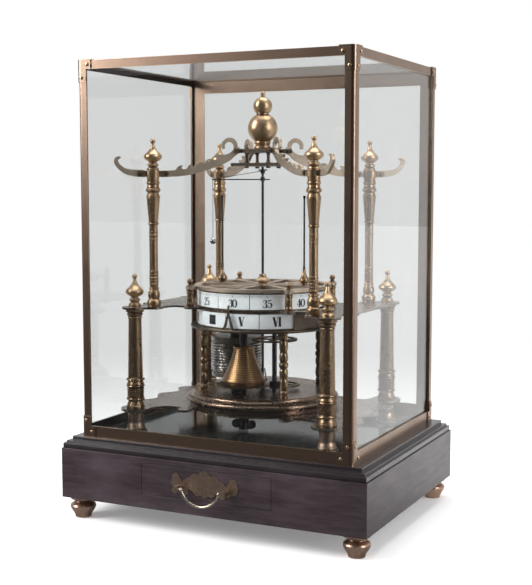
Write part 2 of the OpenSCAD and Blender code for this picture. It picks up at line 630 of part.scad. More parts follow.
/* Arms of the canopy. Their outlines run from the slender column's centre line, s
   along the arm and z over the joint */
// The corner of the top plate that an arm's side would meet first
plate_reach = (canopy_top_w / 2 + scroll_t / 2 * sin(slim_angle)) / cos(slim_angle);
arm_end = slim_ring - plate_reach - seat_gap;
curl_at = [arm_end - 12.3, canopy_rise + canopy_t + canopy_pillar_h + canopy_t / 2 + 6.4];
curl_r = 10;
lug_t = 2;
bolt_r = 1.7;
arm_bolt = 15;
inner_bolt = arm_end - 4;
inner_bolt_z = canopy_rise + canopy_t + canopy_pillar_h + canopy_t / 2;
module scroll_outline() {
    k = [arm_end / 105.8, inner_bolt_z / 28.9];
    under = smooth_line([[11, -4], [21, -3.6], [36, -2.6], [46.5, -0.8], [57, 2], [65, 4.4], [74, 7.6],
        [83, 10.9], [90, 14.2], [96, 18], [100.5, 22.6], [105.8, 25.8]]);
    over = concat([[105.8, 33.7], [99.6, 33]], smooth_line([[98, 29.6], [95, 27], [91.2, 25], [86, 23.8],
        [82, 24.4]]), smooth_line([[79, 24.6], [75.2, 23.4]]), smooth_line([[76.6, 21.6], [77.8, 19.6],
        [76.6, 17.9]]), smooth_line([[71.4, 18.7], [65.7, 18.5]]), smooth_line([[67.8, 17.1], [69.3, 15],
        [67, 13.5], [60.6, 13.5], [57.2, 14.4], [53.6, 12.6], [50, 9.6], [46.4, 9.2]]),
        smooth_line([[46, 10.7], [47.5, 12.2]]), smooth_line([[45, 11.6], [43, 9.8], [41.6, 7.2], [39, 6],
        [35.8, 5.9]]), smooth_line([[34.5, 7.4], [34.9, 9], [36.4, 11]]), smooth_line([[32, 10.1],
        [29.4, 8.2], [28.1, 5.8], [25, 4.5], [11, 4]]));
    polygon([for (p = concat(under, over)) [p[0] * k[0], p[1] * k[1]]]);
    translate(curl_at) difference() {
        circle(r = curl_r, $fn = smooth);
        translate([-0.4, -1.6]) circle(r = curl_r - 4, $fn = small_smooth);
        polygon([[0, -1], [-1.3 * curl_r, -0.32 * curl_r], [-1.3 * curl_r, -1.3 * curl_r],
            [0.9 * curl_r, -1.3 * curl_r], [0.75 * curl_r, -0.45 * curl_r]]);
    }
    translate(curl_at + [2.1 - curl_r, -2.2]) circle(r = 2.1, $fn = small_smooth);
}
module hook_outline()
    polygon(concat(smooth_line([[11, -4], [23, -3.2], [34, -0.4], [43, 6.4], [47.6, 13.6], [46.4, 19.4],
        [42, 21.4], [38.6, 19.8]]),
        smooth_line([[41, 18.4], [42.6, 15.6], [39, 10.2], [31, 6], [11, 4.6]])));
module arm_plate() rotate([90, 0, 0]) translate([0, 0, -scroll_t / 2]) linear_extrude(scroll_t)
    difference() {
    children(0);
    translate([arm_bolt, 0]) circle(r = bolt_r + run_gap, $fn = small_smooth);
    if ($children > 1) children(1);
}
module scroll_brackets() color("#6b5a48") at_arms() translate([slim_ring, 0, z_joint]) mirror([1, 0, 0])
    arm_plate() {
    scroll_outline();
    translate([inner_bolt, inner_bolt_z - 0.2]) circle(r = bolt_r + run_gap, $fn = small_smooth);
}
module outer_hooks() color("#6b5a48") at_arms() translate([slim_ring, 0, z_joint]) arm_plate()
    hook_outline();
// A ring round each slender column's neck with a pair of lugs for each arm
module fork(from, to, h) for (s = [0, 1]) mirror([0, s, 0])
    translate([from, scroll_t / 2, -h / 2]) cube([to - from, lug_t, h]);
module arm_collars() color("#7a6446") at_arms() translate([slim_ring, 0, z_joint]) difference() {
    union() {
        translate([0, 0, -collar_h / 2]) disc(10, collar_h, 48);
        for (s = [0, 1]) mirror([s, 0, 0]) fork(7.6, arm_bolt + 4, collar_h);
    }
    translate([0, 0, -collar_h]) disc(slim_neck_r, 2 * collar_h, 48);
    for (s = [-1, 1]) translate([s * arm_bolt, 0, 0]) rotate([90, 0, 0])
        translate([0, 0, -scroll_t]) disc(bolt_r + run_gap, 2 * scroll_t, small_smooth);
}
module cross_bolt() rotate([90, 0, 0]) {
    half = scroll_t / 2 + lug_t;
    translate([0, 0, -half - 3]) disc(bolt_r, 2 * half + 4, small_smooth);
    for (z = [-half - 2.4, half]) translate([0, 0, z]) cylinder(r = 3.2, h = 2.4, $fn = 6);
}
pillar_at = canopy_top_w / 2 - 7;
module frame_bolts() color("#5b4d3a") {
    at_arms() translate([slim_ring, 0, z_joint]) {
        for (s = [-1, 1]) translate([s * arm_bolt, 0, 0]) cross_bolt();
        translate([-inner_bolt, 0, inner_bolt_z - 0.2]) cross_bolt();
    }
    for (c = corners) translate([c[0] * pillar_at, c[1] * pillar_at, 0]) {
        translate([0, 0, z_crown]) cylinder(r = 3, h = 2.4, $fn = 6);
        translate([0, 0, z_canopy - 2.4]) cylinder(r = 3, h = 2.4, $fn = 6);
    }
}
module canopy_low_plate() color("#55493a") difference() {
    translate([0, 0, z_canopy]) slab(canopy_low_w, canopy_low_w, canopy_t);
    translate([0, 0, z_canopy - 1]) disc(1 + run_gap, canopy_t + 2, small_smooth);
}
module canopy_pillars() color("#6b5a48")
    for (c = corners) translate([c[0] * pillar_at, c[1] * pillar_at, z_canopy_top])
        turned(concat([[3, 0], [3, 1.5]], swell(2, 5, 2.2, 1.9, 3),
            swell(canopy_pillar_h - 5, canopy_pillar_h - 2, 1.9, 2.2, 3),
            [[3, canopy_pillar_h - 1.5], [3, canopy_pillar_h]]), small_smooth);
module canopy_top_plate() color("#55493a") difference() {
    union() {
        translate([0, 0, z_crown_plate]) slab(canopy_top_w, canopy_top_w, canopy_t);
        at_arms() translate([0, 0, z_crown_plate + canopy_t / 2])
            fork(canopy_top_w / 2 + 3.5, slim_ring - inner_bolt + 3, canopy_t + 1.4);
    }
    at_arms() translate([slim_ring - inner_bolt, 0, z_joint + inner_bolt_z - 0.2]) rotate([90, 0, 0])
        translate([0, 0, -2 * scroll_t]) disc(bolt_r + run_gap, 4 * scroll_t, small_smooth);
}
// The crown: two balls and a tip on a turned foot, listed in shares of the large ball's radius
module crown_finial() color("#a9804f") translate([0, 0, z_crown]) {
    ball_z = 1.41;
    upper_z = 2.86;
    upper_r = 0.64;
    tip_z = 3.7;
    tip_r = 0.17;
    turned(crown_r * concat([[0.57, 0]], bulge(0.02, 0.19, 0.57, 0.6, 4), swell(0.2, 0.3, 0.54, 0.46, 3),
        swell(0.3, 0.38, 0.46, 0.52, 3), bulge(0.39, 0.53, 0.52, 0.58, 4), [[0.5, 0.55]],
        [for (a = [-57:7:62]) [cos(a), ball_z + sin(a)]], bulge(2.31, 2.43, 0.4, 0.43, 3),
        [for (a = [-40:10:74]) upper_r * [cos(a), sin(a)] + [0, upper_z]], [[0.15, 3.49], [0.15, 3.56]],
        [for (a = [-40:14:86]) tip_r * [cos(a), sin(a)] + [0, tip_z]]));
}

/* The movement: a turned bed, four beaded pillars and the plate under the hour ring */
module movement_bed() color("#5d4a39") difference() {
    translate([0, 0, z_lower_top]) rotate_extrude($fn = 96) polygon(concat(
        [[0, bed_h - deck_t], [deck_r - 6, bed_h - deck_t], [deck_r - 6, 0], [bed_r - 5, 0],
            [bed_r - 4.2, 0.8], [bed_r - 3.4, 5.4], [bed_r - 4.4, 6], [bed_r - 4.4, 6.6]],
        bulge(6.8, 13.6, bed_r - 3.6, bed_r, 8), [[bed_r - 3.2, 13.9], [bed_r - 3.2, 14.5]],
        [for (a = [0:15:90]) [deck_r + 0.6 + (bed_r - 4.4 - deck_r) * (1 - sin(a)),
            bed_h - 5.2 + 3.4 * (1 - cos(a))]],
        [[deck_r, bed_h - 1.6], [deck_r, bed_h], [0, bed_h]]));
    translate([fusee_at[0], fusee_at[1], z_deck - deck_t - 1])
        disc(arbor_r + run_gap, deck_t + 2, small_smooth);
    for (p = [second_at, third_at]) translate([p[0], p[1], z_deck - 3])
        disc(pivot_r + run_gap, 4, small_smooth);
    translate([0, 0, z_deck - 3]) disc(1 + run_gap, 4, small_smooth);
}
module beaded_pillars() color("#7d6040") around(pillar_ring) translate([0, 0, z_deck]) {
    h = pillar_h;
    turned(concat([[5.4, 0], [5.4, 2.4], [4.4, 2.8]], bulge(3, 9, 4, 5, 5), bulge(9.2, 24, 3.8, 5.4, 6),
        bulge(24.2, h / 2 - 4, 3.8, 5.4, 6),
        bulge(h / 2 - 3.6, h / 2 + 3.6, 3.8, 5.8, 6), bulge(h / 2 + 4, h - 24.2, 3.8, 5.4, 6),
            bulge(h - 24, h - 9.2, 3.8, 5.4, 6),
        bulge(h - 9, h - 3, 4, 5, 5), [[4.4, h - 2.8], [5.4, h - 2.4], [5.4, h]]), 48);
}
idler_stud_r = 2;
module ring_plate() color("#6f5a45") difference() {
    union() {
        translate([0, 0, z_ring_plate]) turned(concat([[ring_plate_r - 1.5, 0]],
            bulge(0, ring_plate_t, ring_plate_r - 1.2, ring_plate_r, 6),
                [[ring_plate_r - 1.5, ring_plate_t]]), 96);
        translate([idler_at[0], idler_at[1], z_ring_plate + 1])
            disc(idler_stud_r, z_hour_wheel + wheel_t + 1 - z_ring_plate, small_smooth);
        translate([0, 0, z_ring_plate + 1]) disc(tube_r, z_bridge - seat_gap - z_ring_plate - 1,
            small_smooth);
    }
    for (p = [fusee_at, second_at, third_at]) translate([p[0], p[1], z_ring_plate - 1])
        disc(pivot_r + run_gap, ring_plate_t + 2, small_smooth);
    translate([barrel_at[0], barrel_at[1], z_ring_plate - 1])
        disc(pivot_r + 1, ring_plate_t + 2, small_smooth);
    translate([0, 0, z_ring_plate - 1]) disc(rod_r + 0.5, z_bridge - z_ring_plate + 2, small_smooth);
}
// The fixed pointer: two flared legs and a needle that reads both rings
pointer_angle = 267.5;
module pointer() color("#5a452f") rotate(pointer_angle) translate([ring_r + 3.4, 0, z_ring_top])
    rotate([90, 0, 90]) {
        for (s = [0, 1]) mirror([s, 0, 0]) linear_extrude(1.6)
            polygon(concat(smooth_line([[9.4, 0], [6.4, 4], [4.2, 10], [2.4, 16], [1.4, 19]]),
                [[0.9, 28], [-0.3, 30]],
                smooth_line([[-0.3, 16], [1, 12.6], [2, 7], [3, 3.4], [4.6, 1.2], [5, 0]])));
        translate([0, 14.8, 0]) slab(7.2, 1.6, 1.6);
        translate([0, 21.4, 0]) disc(2, 1.6, small_smooth);
        translate([0, 0.6, 0]) slab(20, 1.2, 1.6);
    }
module hour_shroud() color("#4c4036") rotate([0, 0, -37.5]) translate([0, 0, z_ring_top])
    rotate_extrude(angle = 92, $fn = 96) translate([ring_r + 1.4, 0]) square([1.8, z_upper - z_ring_top]);

/* The bridge over the rings, its posts, the boss and the wrap posts */
post_r = 4.2;
post_stem_r = 2;
module spoked_bridge() color("#75603f") translate([0, 0, z_bridge]) linear_extrude(bridge_t) difference() {
    union() {
        difference() {
            circle(r = bridge_r, $fn = 96);
            circle(r = bridge_r - 9, $fn = 96);
        }
        circle(r = 12, $fn = 48);
        for (i = [0:3]) rotate(spoke_turn + 45 * i) square([2 * bridge_r - 6, 7], center = true);
        around(post_ring) circle(r = 5.4, $fn = small_smooth);
        around((post_ring + bridge_r) / 2 - 3) square([12, 8], center = true);
    }
    around(post_ring) circle(r = post_stem_r + run_gap, $fn = small_smooth);
    circle(r = rod_r + 0.5, $fn = small_smooth);
}
module bridge_posts() color("#6a563c") around(post_ring) translate([0, 0, z_upper_top]) {
    h = bridge_rise;
    t = h + bridge_t;
    turned(concat([[5, 0], [5, 1.6]], bulge(2, 5.4, 4, 4.7, 4), [[3.9, 5.8]],
        bulge(6.2, h - 6.2, 3.9, post_r, 6),
        [[3.9, h - 5.8]], bulge(h - 5.4, h - 2, 4, 4.7, 4),
            [[4.6, h - 1.6], [4.6, h], [post_stem_r, h], [post_stem_r, t], [3.8, t], [3.8, t + 0.8]],
        swell(t + 1, t + 3, 3.4, 1.8, 3), [for (a = [-52:13:84])
            [3.7 * cos(a), t + 5.8 + 3.7 * sin(a)]]), small_smooth);
}
module centre_boss() color("#b58c50") translate([0, 0, z_bridge_top]) difference() {
    turned(concat([[6, 0], [6, 1.6], [5.4, 2]], swell(2.2, 3.4, 6, 9.4, 3), [[9.8, 3.8], [9.8, 5.4]],
        swell(5.6, 9.4, 9.2, 5, 4),
        [[4.4, 9.8], [4.4, 12.4], [3.8, 13]]), 48);
    translate([0, 0, -1]) disc(rod_r + run_gap, 16, small_smooth);
}
module wrap_posts() color("#8a683f") around(wrap_ring, spoke_turn, 2) translate([0, 0, z_bridge_top])
    turned(concat([[3.3, 0], [3.3, 2.2], [3, 2.6]], swell(2.8, 4.6, 4.2, 6.1, 4),
        bulge(4.8, 7, 6.1, 6.4, 3),
        swell(7.4, cone_h / 2, 6, 3, 4), [[2.1, cone_h * 0.65], [1.4, cone_h * 0.92],
            [rod_r * 0.7, cone_h]],
        [[rod_r * 0.7, wrap_h - 4], [1.5, wrap_h - 3]], bulge(wrap_h - 2.8, wrap_h, 1.4, 1.7, 3)),
            small_smooth);

/* The number rings and the wheels that turn them */
// Outline of n bars of width w that meet in the middle and reach out to the radius r
function star(n, r, w) = [for (i = [0:n - 1]) let (a = 360 * i / n, along = [cos(a), sin(a)], across =
    w / 2 * [-sin(a), cos(a)])
    each [r * along - across, r * along + across,
        w / 2 / sin(180 / n) * [cos(a + 180 / n), sin(a + 180 / n)]]];
spoke_drop = 0.5;
module ring_drum(h) {
    wall_r = ring_r - enamel_t;
    tube(wall_r, wall_r - ring_wall, h, 96);
    for (z = [0, h - rim_h]) translate([0, 0, z]) tube(ring_r + 0.4, wall_r - 1, rim_h, 96);
    translate([0, 0, h - wheel_t - spoke_drop]) linear_extrude(wheel_t) polygon(star(6, wall_r - 1, 7));
}
cement_t = 0.1;
module enamels(h, first) for (i = [0:11]) rotate(first + 30 * i - 14.7) translate([0, 0, rim_h])
    rotate_extrude(angle = 29.4, $fn = 96) translate([ring_r - enamel_t + cement_t, 0])
        square([enamel_t - cement_t, h - 2 * rim_h]);
module hour_ring() color("#6b5a48") {
    difference() {
        translate([0, 0, z_hour]) ring_drum(hour_h);
        translate([0, 0, z_hour]) disc(hour_pipe_r - 0.5, hour_h + 1, small_smooth);
    }
    translate([0, 0, z_hour_wheel - 0.8]) tube(hour_pipe_r, minute_pipe_r + run_gap,
        z_hour + hour_h - z_hour_wheel + 0.8, small_smooth);
    translate([0, 0, z_hour_wheel]) spoked_gear(hour_teeth, hour_module, wheel_t, hour_pipe_r - 0.5, 4,
        4, 9, idler_angle + 180 / hour_teeth);
}
module hour_enamels() color("#e6eaec") translate([0, 0, z_hour]) enamels(hour_h, hour_angle);
module minute_ring() color("#6b5a48") {
    difference() {
        translate([0, 0, z_minute]) ring_drum(minute_h);
        translate([0, 0, z_minute]) disc(minute_pipe_r - 0.5, minute_h + 1, small_smooth);
    }
    translate([0, 0, z_work]) tube(minute_pipe_r, tube_r + run_gap, z_minute + minute_h - z_work,
        small_smooth);
    translate([0, 0, z_work]) spoked_gear(minute_teeth, work_module, wheel_t, minute_pipe_r - 0.5, 3, 4,
        8, second_turn + 180 / minute_teeth);
    translate([0, 0, z_cannon]) gear(cannon_teeth, cannon_module, 3, minute_pipe_r - 0.5, idler_angle);
}
module minute_enamels() color("#e6eaec") translate([0, 0, z_minute]) enamels(minute_h, minute_angle);
module motion_wheel() color("#9a7b4a") translate([idler_at[0], idler_at[1], z_cannon + 0.5]) {
    bore = idler_stud_r + run_gap;
    spoked_gear(idler_teeth, cannon_module, wheel_t, bore, 3, 4, 6, idler_angle + 180 + 180 / idler_teeth);
    gear(idler_pinion_teeth, hour_module, z_hour_wheel + wheel_t + 0.3 - z_cannon - 0.5, bore,
        idler_angle + 180);
}

/* The fusee, the spring barrel and the line */
fusee_flare = 1.45;
fusee_steps = 12;
function fusee_radius(t) = fusee_top_r + (fusee_r - fusee_top_r) * pow(1 - t, fusee_flare);
module at_axis(p, z) translate([p[0], p[1], z]) children();
module fusee_cone() color("#b08448") at_axis(fusee_at, z_fusee) difference() {
    union() {
        translate([0, 0, z_great + wheel_t - z_fusee])
            disc(fusee_r - 5, z_fusee - z_great - wheel_t, smooth);
        disc(fusee_r, 2, smooth);
        translate([0, 0, 2]) turned([for (i = [0:fusee_steps]) let (t = i / fusee_steps)
            [fusee_radius(t), t * (fusee_h - 4)]]);
        translate([0, 0, fusee_h - 2]) disc(fusee_top_r + 0.6, 2, smooth);
    }
    translate([0, 0, -4]) disc(arbor_r, fusee_h + 6, small_smooth);
}
module great_wheel() color("#8d6f42") at_axis(fusee_at, z_great)
    gear(great_teeth, train_module, wheel_t, arbor_r, second_angle);
z_key_top = z_lower - 9.7;
key_h = 15;
module fusee_arbor() color("#4a423a") at_axis(fusee_at, 0) {
    top = z_fusee + fusee_h;
    translate([0, 0, z_key_top - key_h + 2]) disc(arbor_r, top - z_key_top + key_h, small_smooth);
    translate([0, 0, top]) disc(arbor_r + 2, z_ring_plate - 1 - top, small_smooth);
    translate([0, 0, z_ring_plate - 1]) disc(pivot_r, ring_plate_t + 1, small_smooth);
}
// Winding key under the bed: a hub and two ears, turned by hand
module winding_key() color("#33302c") at_axis(fusee_at, z_key_top - key_h) difference() {
    union() {
        disc(6.5, key_h, small_smooth);
        for (s = [-1, 1]) translate([s * 10.5, 0, key_h / 2 - 1]) rotate([90, 0, 0])
            translate([0, 0, -2]) disc(5.5, 4, small_smooth);
    }
    translate([0, 0, 2]) disc(arbor_r, key_h, small_smooth);
}
barrel_shaft_r = 4;
drum_wall = 2.5;
cover_h = 6;
z_cover = z_line + line_room;
module barrel_arbor() color("#4a423a") at_axis(barrel_at, 0) {
    translate([0, 0, z_deck]) disc(2 * barrel_shaft_r, z_barrel - seat_gap - z_deck, small_smooth);
    translate([0, 0, z_barrel - 1]) disc(barrel_shaft_r, z_cover + cover_h - z_barrel + 3, small_smooth);
    translate([0, 0, z_cover + cover_h + seat_gap])
        disc(2.2 * barrel_shaft_r, z_ring_plate - z_cover - cover_h - seat_gap, small_smooth);
    translate([0, 0, z_ring_plate]) disc(pivot_r + 1, ring_plate_t, small_smooth);
}
module barrel_drum() color("#7a726c") at_axis(barrel_at, z_barrel) difference() {
    union() {
        disc(barrel_r - 1, barrel_skirt, 96);
        disc(barrel_core_r, barrel_skirt + line_room + 1, 96);
        translate([0, 0, barrel_skirt + line_room]) disc(barrel_r - 0.5, cover_h, 96);
    }
    translate([0, 0, drum_wall]) disc(barrel_core_r - drum_wall,
        barrel_skirt + line_room + cover_h - 2 * drum_wall, 96);
    translate([0, 0, -1]) disc(barrel_shaft_r + run_gap, barrel_skirt + line_room + cover_h + 2,
        small_smooth);
    // notches that hold the line's two ends
    for (end = [[line_start, barrel_skirt - line_d], [line_start + line_end, barrel_skirt + line_room]])
        rotate(end[0]) translate([line_r, 0, end[1]]) disc(line_d / 2, line_d, small_smooth);
}
// The spring in the barrel: a flat strip wound in a spiral from the arbor to the drum
spring_t = 0.9;
spring_turns = 9;
module mainspring() color("#4d5660") at_axis(barrel_at, z_barrel + 5) {
    spring_in = barrel_shaft_r + seat_gap;
    spring_out = barrel_core_r - drum_wall - spring_t - seat_gap;
    way_out = [for (i = [0:spring_turns * 24]) let (a = i * 15, r =
        spring_in + (spring_out - spring_in) * i / spring_turns / 24)
        [r, a]];
    linear_extrude(line_room - 4) polygon(concat([for (p = way_out) p[0] * [cos(p[1]), sin(p[1])]],
        [for (i = [len(way_out) - 1:-1:0]) let (p = way_out[i]) (p[0] + spring_t)
            * [cos(p[1]), sin(p[1])]]));
}
// The wound line lies on a cylinder: u is the way round it and z the height. It rises
// from a notch in the skirt, winds up the core in equal turns and ends in the cover
line_r = barrel_r - line_d / 2;
line_rings = 24;
line_start = 40;
line_bend_r = 0.8 * line_d;
line_bend = [for (a = [0:22.5:90]) line_bend_r * [1 - cos(a), sin(a)]];
line_pitch = (line_room - 2 * line_bend_r) / line_turns;
function line_deg(u) = u / line_r * 180 / PI;
line_lead = line_deg(line_bend_r);
line_run = line_turns * 360;
line_end = line_run + 2 * line_lead;
line_steps = line_turns * line_rings;
line_path = concat([[0, -line_d]], [for (p = line_bend) [line_deg(p[0]), p[1]]],
    [for (i = [1:line_steps - 1]) [line_lead + i * line_run / line_steps,
        line_bend_r + line_turns * line_pitch * i / line_steps]],
    [for (i = [4:-1:0]) [line_end - line_deg(line_bend[i][0]), line_room - line_bend[i][1]]],
        [[line_end, line_room + line_d]]);
function on_barrel(p) = [line_r * cos(line_start + p[0]), line_r * sin(line_start + p[0]), p[1]];
function way(path, i) = let (d = on_barrel(path[min(i + 1, len(path) - 1)])
    - on_barrel(path[max(i - 1, 0)])) d / norm(d);
function line_ring(path, i, sides) = let (c = on_barrel(path[i]), out =
    [cos(line_start + path[i][0]), sin(line_start + path[i][0]), 0],
    end = i == 0 || i == len(path) - 1, t = end ? [0, 0, 1] : way(path, i), side = cross(t, out))
    [for (k = [0:sides - 1]) c + line_d / 2 * (out * cos(360 * k / sides + 30) + side / norm(side)
        * sin(360 * k / sides + 30))];
line_points = [for (p = line_path) on_barrel(p)];
line_near = 14;
line_gap = min([for (i = [0:len(line_points) - line_near - 1])
    for (j = [i + line_near:1:len(line_points) - 1])
    norm(line_points[i] - line_points[j])]) - line_d;
echo("least gap between turns of the wound line, mm", line_gap);  // wound_line
module wound_line() color("#8d8680") at_axis(barrel_at, z_line)
    swept([for (i = [0:len(line_path) - 1]) line_ring(line_path, i, 6)], 6);
// The stretch of line from the barrel to the fusee, along the tangent on the far side
module fusee_line() color("#8d8680") {
    r1 = barrel_r + line_d / 2 + seat_gap;
    r2 = fusee_r + line_d / 2 + seat_gap;
    between = fusee_at - barrel_at;
    side = atan2(between[1], between[0]) + acos((r1 - r2) / norm(between));
    a = concat(barrel_at + r1 * [cos(side), sin(side)], z_line + line_bend_r);
    b = concat(fusee_at + r2 * [cos(side), sin(side)], z_fusee + line_d / 2);
    d = b - a;
    translate(a) rotate([0, acos(d[2] / norm(d)), atan2(d[1], d[0])])
        cylinder(d = line_d - 0.6, h = norm(d), $fn = 24);
}

/* The train */
module arbor(p, low, high, foot) color("#4a423a") at_axis(p, 0) {
    translate([0, 0, z_deck - 2.6]) disc(pivot_r, foot + 2.6, small_smooth);
    translate([0, 0, low]) disc(arbor_r, high - low, small_smooth);
    translate([0, 0, high]) disc(pivot_r, z_ring_top - high, small_smooth);
}
pinion_h = 9;
module second_arbor() color("#4a423a") {
    arbor(second_at, z_deck + 1, z_ring_plate - 1, 1);
    at_axis(second_at, z_great - 3) gear(second_teeth, train_module, pinion_h, arbor_r - 0.5,
        second_angle + 180 + 180 / second_teeth);
    at_axis(second_at, z_ring_plate) disc(pivot_r, z_work + wheel_t - z_ring_plate, small_smooth);
    at_axis(second_at, z_work) gear(second_top_teeth, work_module, wheel_t, pivot_r - 0.5,
        second_turn + 180);
}
module upper_ring_wheel() color("#3f3a35") at_axis(second_at, z_upper_wheel)
    spoked_gear(upper_wheel_teeth, train_module, wheel_t, arbor_r, 3.5, 3, 6, third_angle);
module third_arbor() color("#4a423a") {
    arbor(third_at, z_deck + 1, z_ring_plate - 1, 1);
    at_axis(third_at, z_upper_wheel - 3) gear(third_teeth, train_module, pinion_h, arbor_r - 0.5,
        third_angle + 180 + 180 / third_teeth);
}
module lower_ring_wheel() color("#3f3a35") at_axis(third_at, z_lower_wheel)
    spoked_gear(lower_wheel_teeth, fly_module, wheel_t, arbor_r, 3, 2.6, 5.5, fly_turn + 180);

/* The fly: its rod turns in the bed, the boss and the canopy */
arm_wire_r = 0.7;
head_h = 5;
module fly_rod() color("#3d3833") {
    translate([0, 0, z_deck - 2.6]) disc(1, 4, small_smooth);
    translate([0, 0, z_deck + 1]) disc(rod_r, z_canopy - 1 - z_deck - 1, small_smooth);
    translate([0, 0, z_canopy - 1.5]) disc(1, canopy_t + 1, small_smooth);
    translate([0, 0, z_lower_wheel - 2]) gear(fly_teeth, fly_module, 7, rod_r - 0.4,
        fly_turn + 180 / fly_teeth);
}
arm_tip = arm_reach * [cos(arm_angle), sin(arm_angle)];
module fly_arm() color("#57504a") {
    hub_r = 2.9;
    rotate(arm_angle) {
        translate([0, 0, z_arm]) rotate([0, 90, 0]) translate([0, 0, -arm_tail]) difference() {
            disc(arm_wire_r, arm_reach + arm_tail, 24);
            translate([0, 0, arm_tail - rod_r]) disc(arm_wire_r + 1, 2 * rod_r, 24);
        }
        // a stay from the head down to the arm's tip
        stay_from = [2, 0, z_canopy - 6];
        stay_to = [arm_reach - 1, 0, z_arm + arm_wire_r];
        d = stay_to - stay_from;
        translate(stay_from) rotate([0, acos(d[2] / norm(d)), 0]) disc(0.35, norm(d), 16);
    }
    translate([0, 0, z_arm - 2]) tube(hub_r, rod_r, head_h, small_smooth);
    translate([0, 0, z_canopy - 9]) tube(hub_r, rod_r, head_h, small_smooth);
    rotate(arm_angle) translate([0, 0, z_canopy - 4.6]) difference() {
        cube([11, 1.6, 1.6], center = true);
        translate([0, 0, -2]) disc(rod_r, 4, small_smooth);
    }
    rotate(arm_angle) translate([arm_reach, 0, z_arm]) sphere(r = 1.1, $fn = 24);
}
thread_d = 0.8;
thread_eye = 1.3;
module fly_thread() color("#4b4640") translate([arm_tip[0], arm_tip[1], z_arm - thread_l])
    disc(thread_d / 2, thread_l - thread_eye, 16);
ball_flat = 0.3;
module steel_ball() color("#9a968f") translate([arm_tip[0], arm_tip[1],
    z_arm - thread_l - ball_r + ball_flat]) difference() {
    sphere(r = ball_r, $fn = 48);
    translate([0, 0, ball_r - ball_flat]) disc(ball_r, ball_r, 24);
}

// Everything is placed a little back, so that the origin lies under the middle
module place() translate([0, origin_y, 0]) children();
place() base_cabinet();
place() base_moulding();
place() base_feet();
place() drawer_runners();
place() drawer_box();
place() drawer_front();
place() pull_plate();
place() pull_bail();
place() case_floor();
place() case_posts();
place() case_rails();
place() corner_brackets();
place() case_screws();
place() glass_walls();
place() glass_top();
place() spool_feet();
place() lower_plate();
place() main_columns();
place() upper_plate();
place() slender_columns();
place() onion_finials();
place() arm_collars();
place() scroll_brackets();
place() outer_hooks();
place() frame_bolts();
place() canopy_low_plate();
place() canopy_pillars();
place() canopy_top_plate();
place() crown_finial();
place() movement_bed();
place() beaded_pillars();
place() ring_plate();
place() pointer();
place() hour_shroud();
place() spoked_bridge();
place() bridge_posts();
place() centre_boss();
place() wrap_posts();
place() hour_ring();
place() hour_enamels();
place() minute_ring();
place() minute_enamels();
place() motion_wheel();
place() fusee_cone();
place() great_wheel();
place() fusee_arbor();
place() winding_key();
place() barrel_arbor();
place() barrel_drum();
place() mainspring();
place() wound_line();
place() fusee_line();
place() second_arbor();
place() upper_ring_wheel();
place() third_arbor();
place() lower_ring_wheel();
place() fly_rod();
place() fly_arm();
place() fly_thread();
place() steel_ball();
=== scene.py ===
# Flying ball clock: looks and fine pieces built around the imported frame
import bpy
import math
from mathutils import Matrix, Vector


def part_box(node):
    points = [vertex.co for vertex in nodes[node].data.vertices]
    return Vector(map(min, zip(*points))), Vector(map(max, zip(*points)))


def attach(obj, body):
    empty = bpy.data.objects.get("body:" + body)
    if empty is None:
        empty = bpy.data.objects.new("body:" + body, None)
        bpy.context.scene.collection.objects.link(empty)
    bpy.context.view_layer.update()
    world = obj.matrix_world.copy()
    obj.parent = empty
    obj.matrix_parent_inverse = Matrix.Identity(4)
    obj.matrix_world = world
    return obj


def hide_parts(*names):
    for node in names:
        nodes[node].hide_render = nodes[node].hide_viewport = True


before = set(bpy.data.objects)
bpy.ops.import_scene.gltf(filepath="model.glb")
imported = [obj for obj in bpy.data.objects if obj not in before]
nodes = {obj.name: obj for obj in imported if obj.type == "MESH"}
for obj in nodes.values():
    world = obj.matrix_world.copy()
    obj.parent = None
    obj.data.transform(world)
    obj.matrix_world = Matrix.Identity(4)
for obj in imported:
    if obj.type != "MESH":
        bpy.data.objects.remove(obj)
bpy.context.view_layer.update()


# Camera, placed as the photograph was taken
cameraSetup = {
    "place": (0.6387, -1.3042, 0.4124), "tilt": 84.72, "turn": 25.81, "lens": 70.9,
    "sensor": 36, "nearest": 0.05,
}
bpy.ops.object.camera_add(
    location=cameraSetup["place"],
    rotation=(math.radians(cameraSetup["tilt"]), 0, math.radians(cameraSetup["turn"])),
)
camera = bpy.context.object
camera.data.sensor_width = cameraSetup["sensor"]
camera.data.lens = cameraSetup["lens"]
camera.data.clip_start = cameraSetup["nearest"]
bpy.context.scene.camera = camera
bpy.context.scene.view_settings.view_transform = "Standard"
print("camera placed")


# Helpers for shader nodes
def addNode(tree, kind, **values):
    node = tree.nodes.new(kind)
    for name, value in values.items():
        if hasattr(node, name):
            setattr(node, name, value)
        else:
            node.inputs[name.replace("_", " ")].default_value = value
    return node


def mathNode(tree, operation, a, b=None, clamp=False):
    node = tree.nodes.new("ShaderNodeMath")
    node.operation = operation
    node.use_clamp = clamp
    for i, value in enumerate((a, b)):
        if value is None:
            continue
        if isinstance(value, (int, float)):
            node.inputs[i].default_value = value
        else:
            tree.links.new(value, node.inputs[i])
    return node.outputs[0]


def mixColours(tree, factor, a, b):
    node = tree.nodes.new("ShaderNodeMix")
    node.data_type = "RGBA"
    for socket, value in ((node.inputs[0], factor), (node.inputs[6], a), (node.inputs[7], b)):
        if isinstance(value, (int, float)):
            socket.default_value = value
        elif isinstance(value, tuple):
            socket.default_value = (*value, 1)
        else:
            tree.links.new(value, socket)
    return node.outputs[2]


